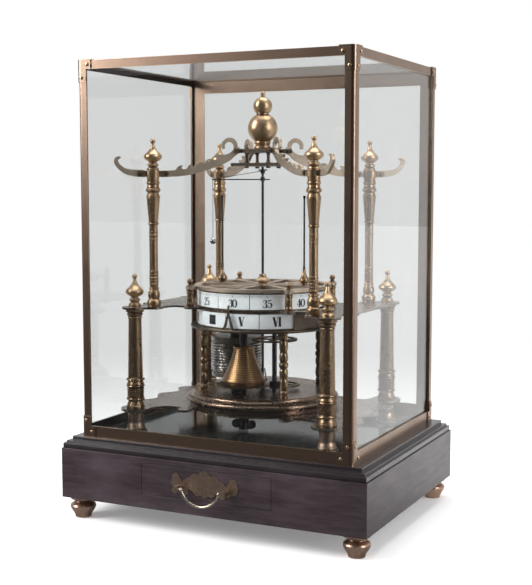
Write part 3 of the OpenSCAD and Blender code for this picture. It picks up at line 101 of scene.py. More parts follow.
def ramp(tree, value, stops):
    node = tree.nodes.new("ShaderNodeValToRGB")
    points = node.color_ramp.elements
    while len(points) < len(stops):
        points.new(0.5)
    for point, (place, grey) in zip(points, stops):
        point.position = place
        point.color = (grey, grey, grey, 1)
    tree.links.new(value, node.inputs[0])
    return node.outputs[0]


def objectPlace(tree, scale=(1, 1, 1), shift=(0, 0, 0)):
    coordinates = tree.nodes.new("ShaderNodeTexCoord")
    mapping = tree.nodes.new("ShaderNodeMapping")
    mapping.inputs["Scale"].default_value = scale
    mapping.inputs["Location"].default_value = shift
    tree.links.new(coordinates.outputs["Object"], mapping.inputs[0])
    return mapping.outputs[0]


def axisOf(tree, vector, axis):
    split = tree.nodes.new("ShaderNodeSeparateXYZ")
    tree.links.new(vector, split.inputs[0])
    return split.outputs[axis]


def noise(tree, vector, scale, detail=4.0, roughness=0.55):
    node = addNode(tree, "ShaderNodeTexNoise", Scale=scale, Detail=detail, Roughness=roughness)
    tree.links.new(vector, node.inputs["Vector"])
    return node.outputs["Fac"]


def groupTree(name, inputs, outputs):
    tree = bpy.data.node_groups.new(name, "ShaderNodeTree")
    for title, kind, value in inputs:
        socket = tree.interface.new_socket(title, in_out="INPUT", socket_type=kind)
        if value is not None:
            socket.default_value = value
    for title, kind in outputs:
        tree.interface.new_socket(title, in_out="OUTPUT", socket_type=kind)
    return tree, tree.nodes.new("NodeGroupInput"), tree.nodes.new("NodeGroupOutput")


# Old lacquer on metal: broad cloudy patches, fine grain and small dark specks
def buildPatinaGroup():
    tree, given, result = groupTree(
        "oldPatina",
        [
            ("Vector", "NodeSocketVector", None), ("Patch", "NodeSocketFloat", 40.0),
            ("Grain", "NodeSocketFloat", 900.0),
        ],
        [("Patches", "NodeSocketFloat"), ("Specks", "NodeSocketFloat"), ("Height", "NodeSocketFloat")],
    )

    def cloud(scaleSocket, detail, rough):
        node = addNode(tree, "ShaderNodeTexNoise", Detail=detail, Roughness=rough)
        tree.links.new(given.outputs["Vector"], node.inputs["Vector"])
        tree.links.new(scaleSocket, node.inputs["Scale"])
        return node.outputs["Fac"]

    broad = cloud(given.outputs["Patch"], 5.0, 0.6)
    grain = cloud(given.outputs["Grain"], 3.0, 0.7)
    mid = cloud(mathNode(tree, "MULTIPLY", given.outputs["Patch"], 5.3), 4.0, 0.65)
    share = mathNode(tree, "MULTIPLY", mid, 0.35)
    mixed = mathNode(tree, "ADD", mathNode(tree, "MULTIPLY", broad, 0.65), share)
    patches = ramp(tree, mixed, [(0.38, 0.0), (0.62, 1.0)])
    specks = ramp(tree, mid, [(0.60, 0.0), (0.70, 1.0)])
    fine = mathNode(tree, "MULTIPLY", grain, 0.5)
    height = mathNode(tree, "ADD", fine, mathNode(tree, "MULTIPLY", mid, 0.5))
    tree.links.new(patches, result.inputs["Patches"])
    tree.links.new(specks, result.inputs["Specks"])
    tree.links.new(height, result.inputs["Height"])
    return tree


# Lines left by the lathe: thin bands that only change with height
def buildLatheGroup():
    tree, given, result = groupTree(
        "latheLines",
        [("Vector", "NodeSocketVector", None), ("Fineness", "NodeSocketFloat", 900.0)],
        [("Lines", "NodeSocketFloat")],
    )
    node = addNode(tree, "ShaderNodeTexNoise", noise_dimensions="1D", Detail=3.0, Roughness=0.7)
    tree.links.new(axisOf(tree, given.outputs["Vector"], "Z"), node.inputs["W"])
    tree.links.new(given.outputs["Fineness"], node.inputs["Scale"])
    tree.links.new(node.outputs["Fac"], result.inputs["Lines"])
    return tree


# Bright edges, rubbed wear with a painted highlight along them, from how far a rounded normal leans away from
# the true one
def buildEdgeGroup():
    tree, given, result = groupTree(
        "rubbedAndLitEdges",
        [("Break", "NodeSocketFloat", 0.5)],
        [("Edges", "NodeSocketFloat")],
    )
    rounded = addNode(tree, "ShaderNodeBevel", samples=4, Radius=0.0009)
    flat = tree.nodes.new("ShaderNodeNewGeometry")
    dot = tree.nodes.new("ShaderNodeVectorMath")
    dot.operation = "DOT_PRODUCT"
    tree.links.new(rounded.outputs[0], dot.inputs[0])
    tree.links.new(flat.outputs["Normal"], dot.inputs[1])
    lean = mathNode(tree, "SUBTRACT", 1.0, dot.outputs["Value"])
    broken = mathNode(tree, "MULTIPLY", lean, mathNode(tree, "ADD", given.outputs["Break"], 0.35))
    tree.links.new(ramp(tree, broken, [(0.02, 0.0), (0.16, 1.0)]), result.inputs["Edges"])
    return tree


# Dirt where polishing cannot reach, with painted shade: the colour darkens where nearby surfaces close the
# surface in
def buildGrimeGroup():
    tree, given, result = groupTree(
        "grimeAndShadeInGrooves",
        [("Reach", "NodeSocketFloat", 0.004)],
        [("GrimeAndShade", "NodeSocketFloat")],
    )
    openness = addNode(tree, "ShaderNodeAmbientOcclusion", samples=6, only_local=True)
    tree.links.new(given.outputs["Reach"], openness.inputs["Distance"])
    shut = mathNode(tree, "SUBTRACT", 1.0, openness.outputs["AO"])
    tree.links.new(ramp(tree, shut, [(0.12, 0.0), (0.6, 1.0)]), result.inputs["GrimeAndShade"])
    return tree


patinaGroup = buildPatinaGroup()
grimeAndShadeGroup = buildGrimeGroup()
latheGroup = buildLatheGroup()
edgeGroup = buildEdgeGroup()


def placeGroup(tree, group, vector=None, **values):
    node = tree.nodes.new("ShaderNodeGroup")
    node.node_tree = group
    if vector is not None:
        tree.links.new(vector, node.inputs["Vector"])
    for name, value in values.items():
        if isinstance(value, (int, float)):
            node.inputs[name].default_value = value
        else:
            tree.links.new(value, node.inputs[name])
    return node


def startMaterial(name, metallic=0.0, ior=1.5):
    material = bpy.data.materials.new(name)
    material.use_nodes = True
    tree = material.node_tree
    surface = tree.nodes["Principled BSDF"]
    surface.inputs["Metallic"].default_value = metallic
    surface.inputs["IOR"].default_value = ior
    return material, tree, surface


def addBump(tree, surface, height, strength, distance, rounding=None):
    bump = addNode(tree, "ShaderNodeBump", Strength=strength, Distance=distance)
    if rounding:
        rounded = addNode(tree, "ShaderNodeBevel", samples=6, Radius=rounding)
        tree.links.new(rounded.outputs[0], bump.inputs["Normal"])
    tree.links.new(height, bump.inputs["Height"])
    tree.links.new(bump.outputs[0], surface.inputs["Normal"])


# Metals. Each has a clean colour and a darker tarnish, and a bright tone along its edges, partly rubbed wear
# and partly painted highlight.
# pitch is the distance between level grooves, emboss the fineness of a raised pattern, and darkAbove
# the height over which another colour takes over
metalLook = {
    "grain": 900.0, "specks": 0.3, "turning": 1400.0, "scored": [(0.42, 0.0), (0.6, 1.0)],
    "underTurning": 0.25, "grooveShade": 0.6, "grooveDepth": 4.0, "leaves": [(0.38, 0.55), (0.56, 0.0)],
    "leafLift": 14.0, "grimeAndShadeReach": 0.004, "grimeAndShadeDark": 0.35, "rubbedAndLit": 0.75, "relief": 0.00006,
}


def metal(name, clean, tarnish, bright=None, rough=(0.28, 0.5), patch=45.0, lathe=0.0, tarnished=0.6,
          dent=0.1, grimeAndShade=0.0, darkAbove=None, pitch=0.0, emboss=0.0):
    s = metalLook
    material, tree, surface = startMaterial(name, metallic=1.0)
    place = objectPlace(tree)
    patina = placeGroup(tree, patinaGroup, place, Patch=patch, Grain=s["grain"])
    patches = mathNode(tree, "MULTIPLY", patina.outputs["Patches"], tarnished)
    colour = mixColours(tree, patches, clean, tarnish)
    specks = mathNode(tree, "MULTIPLY", patina.outputs["Specks"], s["specks"])
    colour = mixColours(tree, specks, colour, tarnish)
    height = patina.outputs["Height"]
    if lathe:
        lines = placeGroup(tree, latheGroup, place, Fineness=s["turning"]).outputs["Lines"]
        scored = mathNode(tree, "MULTIPLY", ramp(tree, lines, s["scored"]), lathe)
        colour = mixColours(tree, scored, colour, tarnish)
        height = mathNode(tree, "ADD", mathNode(tree, "MULTIPLY", height, s["underTurning"]), lines)
    if pitch:
        turns = mathNode(tree, "MULTIPLY", axisOf(tree, place, "Z"), 2 * math.pi / pitch)
        wave = mathNode(tree, "MULTIPLY", mathNode(tree, "SINE", turns), 0.5)
        wave = mathNode(tree, "ADD", wave, 0.5)
        # Groove bottoms darkened: painted shade in the grooves
        colour = mixColours(tree, mathNode(tree, "MULTIPLY", wave, s["grooveShade"]), colour, tarnish)
        height = mathNode(tree, "SUBTRACT", height, mathNode(tree, "MULTIPLY", wave, s["grooveDepth"]))
    if emboss:
        leaves = noise(tree, place, emboss, 2.0, 0.5)
        colour = mixColours(tree, ramp(tree, leaves, s["leaves"]), colour, tarnish)
        height = mathNode(tree, "ADD", height, mathNode(tree, "MULTIPLY", leaves, s["leafLift"]))
    # Grooves and hollows darkened: dirt with painted shade, from how closed in the surface is
    if grimeAndShade:
        shut = placeGroup(tree, grimeAndShadeGroup, Reach=s["grimeAndShadeReach"]).outputs["GrimeAndShade"]
        deep = tuple(s["grimeAndShadeDark"] * part for part in tarnish)
        colour = mixColours(tree, mathNode(tree, "MULTIPLY", shut, grimeAndShade), colour, deep)
    # Lighter edges: rubbed wear with a painted highlight
    if bright:
        rubbedAndLit = placeGroup(tree, edgeGroup, Break=patina.outputs["Patches"]).outputs["Edges"]
        colour = mixColours(tree, mathNode(tree, "MULTIPLY", rubbedAndLit, s["rubbedAndLit"]), colour, bright)
    if darkAbove:
        upper = mathNode(tree, "GREATER_THAN", axisOf(tree, place, "Z"), darkAbove[0])
        colour = mixColours(tree, upper, colour, darkAbove[1])
    tree.links.new(colour, surface.inputs["Base Color"])
    low, high = rough
    spread = mathNode(tree, "MULTIPLY", patina.outputs["Patches"], high - low)
    tree.links.new(mathNode(tree, "ADD", spread, low), surface.inputs["Roughness"])
    addBump(tree, surface, height, dent, s["relief"])
    return material


metalSetup = {
    "caseBrass": dict(
        clean=(0.32, 0.22, 0.163), tarnish=(0.20, 0.136, 0.10), bright=(0.78, 0.59, 0.40),
        rough=(0.28, 0.34), patch=30.0, tarnished=0.4, dent=0.03),
    "turnedBrass": dict(
        clean=(0.45, 0.30, 0.178), tarnish=(0.25, 0.16, 0.093),
        rough=(0.27, 0.33), patch=60.0, lathe=0.3, tarnished=0.3, dent=0.04, grimeAndShade=0.8),
    "columnBrass": dict(
        clean=(0.355, 0.237, 0.142), tarnish=(0.19, 0.122, 0.073),
        rough=(0.26, 0.32), patch=50.0, lathe=0.3, tarnished=0.3, dent=0.04, grimeAndShade=0.8),
    "finialBrass": dict(
        clean=(0.62, 0.435, 0.27), tarnish=(0.40, 0.265, 0.16),
        rough=(0.29, 0.35), patch=60.0, lathe=0.25, tarnished=0.3, dent=0.04, grimeAndShade=0.8),
    "darkBronze": dict(
        clean=(0.118, 0.088, 0.067), tarnish=(0.052, 0.04, 0.032), bright=(0.42, 0.32, 0.22),
        rough=(0.3, 0.5), patch=50.0),
    "plateBronze": dict(
        clean=(0.27, 0.22, 0.18), tarnish=(0.18, 0.14, 0.112), bright=(0.50, 0.38, 0.26),
        rough=(0.2, 0.3), patch=24.0, tarnished=0.5, dent=0.02),
    "scrollBronze": dict(
        clean=(0.42, 0.34, 0.27), tarnish=(0.28, 0.22, 0.17), bright=(0.60, 0.49, 0.38),
        rough=(0.42, 0.58), patch=55.0, tarnished=0.5),
    "spoolBrass": dict(
        clean=(0.46, 0.33, 0.24), tarnish=(0.26, 0.185, 0.135),
        rough=(0.32, 0.42), patch=50.0, lathe=0.2, dent=0.04, grimeAndShade=0.7),
    "bedBrass": dict(
        clean=(0.26, 0.185, 0.138), tarnish=(0.18, 0.125, 0.092),
        rough=(0.25, 0.31), patch=18.0, lathe=0.1, tarnished=0.3, dent=0.02, grimeAndShade=0.85),
    "fuseeBrass": dict(
        clean=(0.34, 0.20, 0.098), tarnish=(0.07, 0.04, 0.02),
        rough=(0.34, 0.42), patch=40.0, tarnished=0.15, dent=0.5, pitch=0.0026),
    "wheelBrass": dict(
        clean=(0.2, 0.137, 0.082), tarnish=(0.07, 0.048, 0.03), bright=(0.5, 0.36, 0.2),
        rough=(0.28, 0.42), patch=60.0, grimeAndShade=0.8),
    "darkSteel": dict(
        clean=(0.085, 0.08, 0.078), tarnish=(0.04, 0.037, 0.035),
        rough=(0.28, 0.45), patch=60.0),
    "wrapSteel": dict(
        clean=(0.46, 0.31, 0.18), tarnish=(0.2, 0.125, 0.07),
        rough=(0.2, 0.32), patch=60.0, lathe=0.25, grimeAndShade=0.8,
        darkAbove=(0.3085, (0.075, 0.07, 0.068))),
    "drumSteel": dict(
        clean=(0.30, 0.275, 0.25), tarnish=(0.13, 0.115, 0.10),
        rough=(0.25, 0.42), patch=50.0, lathe=0.4),
    "brightSteel": dict(
        clean=(0.58, 0.57, 0.56), tarnish=(0.36, 0.35, 0.34),
        rough=(0.12, 0.24), patch=80.0, tarnished=0.3),
    "paleBrass": dict(
        clean=(0.68, 0.60, 0.49), tarnish=(0.42, 0.35, 0.27),
        rough=(0.2, 0.34), patch=120.0),
    "pullBrass": dict(
        clean=(0.52, 0.385, 0.30), tarnish=(0.30, 0.21, 0.16), bright=(0.70, 0.56, 0.44),
        rough=(0.3, 0.44), patch=70.0, dent=0.5, emboss=240.0),
    "footBrass": dict(
        clean=(0.56, 0.38, 0.285), tarnish=(0.28, 0.18, 0.135),
        rough=(0.25, 0.42), patch=60.0, lathe=0.2, grimeAndShade=0.8),
}
finishes = {name: metal(name, **setup) for name, setup in metalSetup.items()}


# Near-black purple wood under gloss lacquer, with grain that runs level round the base
def darkWood(name, depth, coat, rounding):
    material, tree, surface = startMaterial(name, ior=1.45)
    fibres = noise(tree, objectPlace(tree, scale=(1, 1, 9)), 26.0, 6.0, 0.62)
    pores = noise(tree, objectPlace(tree, scale=(1, 1, 14)), 210.0, 3.0, 0.6)
    cloudy = noise(tree, objectPlace(tree, scale=(1, 1, 2.2), shift=(0.3, 0.1, 0)), 11.0, 4.0, 0.55)
    figure = ramp(tree, fibres, [(0.36, 0.0), (0.66, 1.0)])
    clouds = ramp(tree, cloudy, [(0.42, 0.0), (0.72, 1.0)])
    pits = mathNode(tree, "MULTIPLY", ramp(tree, pores, [(0.58, 0.0), (0.68, 1.0)]), 0.5)
    colour = mixColours(tree, figure, (0.028, 0.0185, 0.022), (0.047, 0.032, 0.037))
    colour = mixColours(tree, clouds, colour, (0.074, 0.053, 0.064))
    colour = mixColours(tree, pits, colour, (0.006, 0.004, 0.005))
    tree.links.new(mixColours(tree, depth, colour, (0.004, 0.003, 0.004)), surface.inputs["Base Color"])
    roughness = mathNode(tree, "ADD", mathNode(tree, "MULTIPLY", figure, 0.12), 0.3)
    tree.links.new(roughness, surface.inputs["Roughness"])
    surface.inputs["Specular IOR Level"].default_value = 0.35
    surface.inputs["Coat Weight"].default_value = coat
    surface.inputs["Coat Roughness"].default_value = 0.12
    addBump(tree, surface, pores, 0.12, 0.0001, rounding=rounding)
    return material


# The pale wood inside the drawer
def plainWood():
    material, tree, surface = startMaterial("drawerWood")
    grain = noise(tree, objectPlace(tree, scale=(7, 0.7, 7)), 30.0, 6.0, 0.6)
    rings = noise(tree, objectPlace(tree, scale=(2, 0.25, 2), shift=(0.2, 0, 0.4)), 22.0, 2.0, 0.4)
    streaks = ramp(tree, grain, [(0.36, 0.0), (0.66, 1.0)])
    colour = mixColours(tree, streaks, (0.20, 0.115, 0.055), (0.36, 0.225, 0.115))
    colour = mixColours(tree, mathNode(tree, "MULTIPLY", rings, 0.4), colour, (0.13, 0.07, 0.035))
    tree.links.new(colour, surface.inputs["Base Color"])
    surface.inputs["Roughness"].default_value = 0.55
    addBump(tree, surface, grain, 0.2, 0.0002)
    return material


# The painted board under the clock: black-green gloss with a faint cloudiness
def floorPanel():
    material, tree, surface = startMaterial("floorPanel")
    cloudy = noise(tree, objectPlace(tree), 9.0, 4.0, 0.55)
    clouds = ramp(tree, cloudy, [(0.35, 0.0), (0.7, 1.0)])
    colour = mixColours(tree, clouds, (0.010, 0.012, 0.011), (0.024, 0.028, 0.026))
    tree.links.new(colour, surface.inputs["Base Color"])
    dulled = mathNode(tree, "MULTIPLY", ramp(tree, cloudy, [(0.3, 0.0), (0.75, 1.0)]), 0.16)
    tree.links.new(mathNode(tree, "ADD", dulled, 0.05), surface.inputs["Roughness"])
    return material


def whiteEnamel():
    material, tree, surface = startMaterial("whiteEnamel")
    cloudy = noise(tree, objectPlace(tree), 60.0, 4.0, 0.6)
    clouds = ramp(tree, cloudy, [(0.35, 0.0), (0.7, 1.0)])
    colour = mixColours(tree, clouds, (0.70, 0.725, 0.74), (0.79, 0.805, 0.815))
    tree.links.new(colour, surface.inputs["Base Color"])
    surface.inputs["Roughness"].default_value = 0.22
    addBump(tree, surface, noise(tree, objectPlace(tree), 180.0, 2.0, 0.5), 0.06, 0.0003)
    return material


def numberPaint():
    material, tree, surface = startMaterial("numberPaint")
    worn = noise(tree, objectPlace(tree), 700.0, 3.0, 0.6)
    colour = mixColours(tree, worn, (0.006, 0.006, 0.008), (0.02, 0.019, 0.02))
    tree.links.new(colour, surface.inputs["Base Color"])
    surface.inputs["Roughness"].default_value = 0.4
    return material


def silkThread():
    material, tree, surface = startMaterial("silkThread")
    fibres = noise(tree, objectPlace(tree, scale=(1, 1, 0.4)), 4000.0, 2.0, 0.6)
    colour = mixColours(tree, fibres, (0.12, 0.11, 0.10), (0.30, 0.28, 0.26))
    tree.links.new(colour, surface.inputs["Base Color"])
    surface.inputs["Roughness"].default_value = 0.6
    return material


# Steel line: the lay of its strands follows the tube's own UV map
def steelLine():
    material, tree, surface = startMaterial("steelLine", metallic=1.0)
    uv = tree.nodes.new("ShaderNodeUVMap")
    mapping = tree.nodes.new("ShaderNodeMapping")
    mapping.inputs["Scale"].default_value = (420.0, 4.0, 1.0)
    tree.links.new(uv.outputs[0], mapping.inputs[0])
    lay = addNode(tree, "ShaderNodeTexWave", bands_direction="DIAGONAL", Scale=0.32, Distortion=0.2)
    tree.links.new(mapping.outputs[0], lay.inputs["Vector"])
    worn = noise(tree, objectPlace(tree), 130.0, 4.0, 0.6)
    dulled = ramp(tree, worn, [(0.36, 0.0), (0.64, 1.0)])
    colour = mixColours(tree, dulled, (0.30, 0.295, 0.285), (0.64, 0.625, 0.61))
    # Darker bands between the strands: painted shade
    strandShade = mathNode(tree, "MULTIPLY", lay.outputs["Fac"], 0.35)
    colour = mixColours(tree, strandShade, colour, (0.10, 0.095, 0.09))
    tree.links.new(colour, surface.inputs["Base Color"])
    surface.inputs["Roughness"].default_value = 0.22
    addBump(tree, surface, lay.outputs["Fac"], 0.25, 0.0001)
    return material


# Window glass that lets shadow rays through, so that the lamps reach the clock
def paneGlass():
    material, tree, surface = startMaterial("paneGlass", ior=1.46)
    surface.inputs["Base Color"].default_value = (0.857, 0.868, 0.866, 1)
    surface.inputs["Transmission Weight"].default_value = 1.0
    smears = noise(tree, objectPlace(tree, scale=(1, 1, 0.4)), 20.0, 5.0, 0.6)
    dulled = mathNode(tree, "MULTIPLY", ramp(tree, smears, [(0.55, 0.0), (0.85, 1.0)]), 0.02)
    tree.links.new(dulled, surface.inputs["Roughness"])
    clear = tree.nodes.new("ShaderNodeBsdfTransparent")
    clear.inputs[0].default_value = (0.92, 0.94, 0.94, 1)
    rays = tree.nodes.new("ShaderNodeLightPath")
    mix = tree.nodes.new("ShaderNodeMixShader")
    tree.links.new(rays.outputs["Is Shadow Ray"], mix.inputs[0])
    tree.links.new(surface.outputs[0], mix.inputs[1])
    tree.links.new(clear.outputs[0], mix.inputs[2])
    tree.links.new(mix.outputs[0], tree.nodes["Material Output"].inputs["Surface"])
    return material


finishes.update(
    darkWood=darkWood("darkWood", depth=0.0, coat=0.15, rounding=0.0012),
    glossWood=darkWood("glossWood", depth=0.6, coat=0.6, rounding=0.003),
    plainWood=plainWood(), floorPanel=floorPanel(), whiteEnamel=whiteEnamel(),
    numberPaint=numberPaint(), silkThread=silkThread(), steelLine=steelLine(), paneGlass=paneGlass(),
)

nodeFinish = {
    "darkWood": ["base_cabinet", "drawer_front"],
    "glossWood": ["base_moulding"],
    "plainWood": ["drawer_runners", "drawer_box"],
    "floorPanel": ["case_floor"],
    "footBrass": ["base_feet"],
    "pullBrass": ["pull_plate"],
    "paleBrass": ["pull_bail"],
    "caseBrass": ["case_posts", "case_rails", "corner_brackets"],
    "finialBrass": ["onion_finials", "crown_finial", "case_screws", "centre_boss"],
    "turnedBrass": ["slender_columns", "arm_collars"],
    "columnBrass": ["main_columns", "bridge_posts", "beaded_pillars"],
    "wrapSteel": ["wrap_posts"],
    "spoolBrass": ["spool_feet"],
    "plateBronze": ["lower_plate", "upper_plate"],
    "darkBronze": [
        "canopy_low_plate", "canopy_top_plate", "canopy_pillars", "ring_plate", "hour_shroud", "hour_ring",
        "minute_ring", "pointer", "frame_bolts",
    ],
    "scrollBronze": ["scroll_brackets", "outer_hooks", "spoked_bridge"],
    "bedBrass": ["movement_bed"],
    "fuseeBrass": ["fusee_cone"],
    "wheelBrass": ["great_wheel", "motion_wheel", "upper_ring_wheel", "lower_ring_wheel"],
    "darkSteel": [
        "second_arbor", "third_arbor", "fusee_arbor", "fly_rod", "fly_arm", "barrel_arbor", "mainspring",
        "winding_key",
    ],
    "drumSteel": ["barrel_drum"],
    "brightSteel": ["steel_ball"],
    "whiteEnamel": ["hour_enamels", "minute_enamels"],
    "paneGlass": ["glass_walls", "glass_top"],
    "steelLine": ["wound_line", "fusee_line"],
    "silkThread": ["fly_thread"],
}
for finish, members in nodeFinish.items():
    for member in members:
        for materialSlot in nodes[member].material_slots:
            materialSlot.material = finishes[finish]
missed = set(nodes) - {member for members in nodeFinish.values() for member in members}
print("finishes placed; nodes without one:", sorted(missed))


# Pieces
def finishPiece(piece, finish, body, slot, *replaced, smooth=35):
    piece.data.materials.clear()
    piece.data.materials.append(finishes[finish])
    bpy.ops.object.select_all(action="DESELECT")
    piece.select_set(True)
    bpy.context.view_layer.objects.active = piece
    bpy.ops.object.transform_apply(location=True, rotation=True, scale=True)
    if smooth:
        bpy.ops.object.shade_smooth_by_angle(angle=math.radians(smooth))
    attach(piece, body)
    if replaced:
        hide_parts(*replaced)
    return piece


def meshPiece(name, points, faces):
    mesh = bpy.data.meshes.new(name)
    mesh.from_pydata([tuple(p) for p in points], [], faces)
    mesh.update()
    piece = bpy.data.objects.new(name, mesh)
    bpy.context.collection.objects.link(piece)
    return piece


# A round tube along a path, with its length and its girth as UV
def tubePiece(name, path, radius, sides):
    count = len(path)
    points, faces = [], []
    reach = [0.0]
    for i in range(1, count):
        reach.append(reach[-1] + (path[i] - path[i - 1]).length)
    way = (path[1] - path[0]).normalized()
    side = way.orthogonal().normalized()
    for i, centre in enumerate(path):
        newWay = (path[min(i + 1, count - 1)] - path[max(i - 1, 0)]).normalized()
        side = (side - newWay * side.dot(newWay)).normalized()
        up = newWay.cross(side)
        for k in range(sides):
            angle = 2 * math.pi * k / sides
            points.append(centre + radius * (side * math.cos(angle) + up * math.sin(angle)))
    for i in range(count - 1):
        for k in range(sides):
            a, b = i * sides + k, i * sides + (k + 1) % sides
            faces.append((a, b, b + sides, a + sides))
    faces.append(tuple(reversed(range(sides))))
    faces.append(tuple(range((count - 1) * sides, count * sides)))
    piece = meshPiece(name, points, faces)
    uv = piece.data.uv_layers.new(name="along")
    for polygon in piece.data.polygons:
        corner = polygon.loop_start
        if len(polygon.vertices) > 4:
            continue
        i, k = divmod(polygon.vertices[0], sides)
        for step, (along, around) in enumerate(((0, 0), (0, 1), (1, 1), (1, 0))):
            uv.data[corner + step].uv = (reach[i + along], (k + around) / sides)
    return piece


# The line in one piece round the barrel, with both ends turned in
lineSetup = {
    "centre": Vector((-0.044, 0.022, 0.1722)), "drum": 0.034, "thickness": 0.003, "bend": 0.8, "start": 40.0,
    "turns": 10, "room": 0.041, "steps": 36, "sides": 12, "smooth": 60,
}


def windLine():
    s = lineSetup
    middle = s["drum"] - s["thickness"] / 2
    bend = s["bend"] * s["thickness"]
    pitch = (s["room"] - 2 * bend) / s["turns"]

    def lead(length):
        return math.degrees(length / middle)

    angles = [math.radians(a) for a in range(0, 91, 15)]
    quarter = [(bend * (1 - math.cos(a)), bend * math.sin(a)) for a in angles]
    path = [(0, -s["thickness"])] + [(lead(x), z) for x, z in quarter]
    total = s["turns"] * s["steps"]
    for i in range(1, total):
        path.append((lead(bend) + 360 * i / s["steps"], bend + s["turns"] * pitch * i / total))
    last = s["turns"] * 360 + 2 * lead(bend)
    path += [(last - lead(x), s["room"] - z) for x, z in reversed(quarter)]
    path.append((last, s["room"] + s["thickness"]))
    ring = []
    for turn, z in path:
        angle = math.radians(s["start"] + turn)
        ring.append(s["centre"] + Vector((middle * math.cos(angle), middle * math.sin(angle), z)))
    return tubePiece("lineOnBarrel", ring, s["thickness"] / 2, s["sides"])


finishPiece(windLine(), "steelLine", "barrel", "steel_line", "wound_line", smooth=lineSetup["smooth"])


# The straight run of the line, which leaves the barrel and the fusee along their shared tangent
runSetup = {
    "fusee": Vector((-0.008, -0.030, 0.1692)), "barrelReach": 0.0358, "fuseeReach": 0.0288,
    "barrelRise": 0.0024, "fuseeRise": 0.0015, "radius": 0.0012, "steps": 12, "sides": 16, "smooth": 60,
}


def lineToFusee():
    s = runSetup
    barrel, fusee = lineSetup["centre"], s["fusee"]
    between = (fusee - barrel).to_2d()
    lean = math.acos((s["barrelReach"] - s["fuseeReach"]) / between.length)
    angle = math.atan2(between.y, between.x) + lean
    out = Vector((math.cos(angle), math.sin(angle), 0))
    start = barrel + out * s["barrelReach"] + Vector((0, 0, s["barrelRise"]))
    end = fusee + out * s["fuseeReach"] + Vector((0, 0, s["fuseeRise"]))
    path = [start.lerp(end, i / s["steps"]) for i in range(s["steps"] + 1)]
    return tubePiece("lineToFusee", path, s["radius"], s["sides"])


finishPiece(lineToFusee(), "steelLine", "base", "steel_line", "fusee_line", smooth=runSetup["smooth"])


# The silk thread that carries the ball
threadSetup = {"top": 0.4193, "bottom": 0.3466, "radius": 0.0004, "steps": 24, "sides": 10, "smooth": 60}


def hangThread():
    s = threadSetup
    low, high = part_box("fly_thread")
    centre = (low + high) / 2
    path = []
    for i in range(s["steps"] + 1):
        z = s["top"] + (s["bottom"] - s["top"]) * i / s["steps"]
        path.append(Vector((centre.x, centre.y, z)))
    return tubePiece("ballThread", path, s["radius"], s["sides"]), path


thread, threadPath = hangThread()
finishPiece(thread, "silkThread", "thread", "thread", "fly_thread", smooth=threadSetup["smooth"])
print("line and thread made")


# Painted numbers: strokes of x, y and width, as parts of the number's height, laid round the enamels
thick, thin, foot, cap = 0.17, 0.045, 0.02, 0.98


def serif(left, right, y):
    return [(left, y, thin), (right, y, thin)]


def roundStroke(steps=28):
    angles = [2 * math.pi * i / steps for i in range(steps + 1)]
    return [(0.27 * math.cos(a), 0.5 + 0.475 * math.sin(a), 0.035 + 0.125 * abs(math.cos(a))) for a in angles]


glyphs = {
    "I": [[(0, 0, thick), (0, 1, thick)], serif(-0.17, 0.17, foot), serif(-0.17, 0.17, cap)],
    "V": [
        [(-0.27, 1, thick), (0.03, 0, thick)], [(0.29, 1, thin), (0.03, 0, thin)],
        serif(-0.42, -0.12, cap), serif(0.18, 0.40, cap),
    ],
    "X": [
        [(-0.27, 1, thick), (0.27, 0, thick)], [(0.26, 1, thin), (-0.26, 0, thin)],
        serif(-0.42, -0.12, cap), serif(0.14, 0.38, cap), serif(-0.38, -0.14, foot), serif(0.12, 0.42, foot),
    ],
    "0": [roundStroke()],
    "1": [
        [(0.02, 0, 0.15), (0.02, 0.98, 0.15)], serif(-0.17, 0.21, foot),
        [(0.0, 0.96, 0.05), (-0.17, 0.8, 0.03)],
    ],
    "2": [
        [(-0.2, 0.7, 0.13), (-0.17, 0.86, 0.06), (0.0, 0.975, 0.04), (0.18, 0.86, 0.13), (0.2, 0.68, 0.15),
         (0.1, 0.45, 0.09), (-0.1, 0.22, 0.05), (-0.24, 0.05, 0.04)],
        [(-0.25, 0.06, 0.11), (-0.05, 0.07, 0.12), (0.14, 0.05, 0.1), (0.26, 0.09, 0.05), (0.27, 0.22, 0.04)],
    ],
    "3": [
        [(-0.2, 0.78, 0.12), (-0.15, 0.9, 0.06), (0.0, 0.975, 0.04), (0.16, 0.88, 0.12), (0.18, 0.72, 0.14),
         (0.08, 0.58, 0.06), (-0.04, 0.54, 0.035)],
        [(-0.04, 0.54, 0.035), (0.12, 0.5, 0.07), (0.23, 0.28, 0.15), (0.15, 0.08, 0.1), (0.0, 0.025, 0.04),
         (-0.16, 0.08, 0.06), (-0.23, 0.2, 0.12)],
    ],
    "4": [
        [(0.08, 0.99, 0.05), (-0.1, 0.65, 0.04), (-0.3, 0.29, 0.04)],
        [(-0.31, 0.28, 0.05), (0.32, 0.28, 0.05)],
        [(0.1, 0.98, 0.15), (0.1, 0.0, 0.15)], serif(-0.07, 0.27, foot),
    ],
    "5": [
        [(-0.17, 0.93, 0.09), (0.05, 0.92, 0.1), (0.22, 0.98, 0.04)],
        [(-0.19, 0.96, 0.04), (-0.21, 0.52, 0.04)],
        [(-0.21, 0.52, 0.04), (-0.02, 0.62, 0.05), (0.18, 0.52, 0.12), (0.23, 0.32, 0.15), (0.14, 0.09, 0.09),
         (-0.02, 0.025, 0.04), (-0.17, 0.08, 0.06), (-0.23, 0.2, 0.12)],
    ],
    "6": [
        [(0.2, 0.84, 0.11), (0.14, 0.93, 0.05), (0.02, 0.975, 0.04), (-0.14, 0.85, 0.09), (-0.24, 0.6, 0.14),
         (-0.25, 0.35, 0.16), (-0.14, 0.08, 0.08), (0.0, 0.025, 0.04), (0.16, 0.1, 0.08), (0.23, 0.3, 0.14),
         (0.15, 0.53, 0.08), (0.0, 0.6, 0.04), (-0.18, 0.5, 0.04)],
    ],
}
advance = {"I": 0.36, "V": 0.72, "X": 0.74, "1": 0.5}


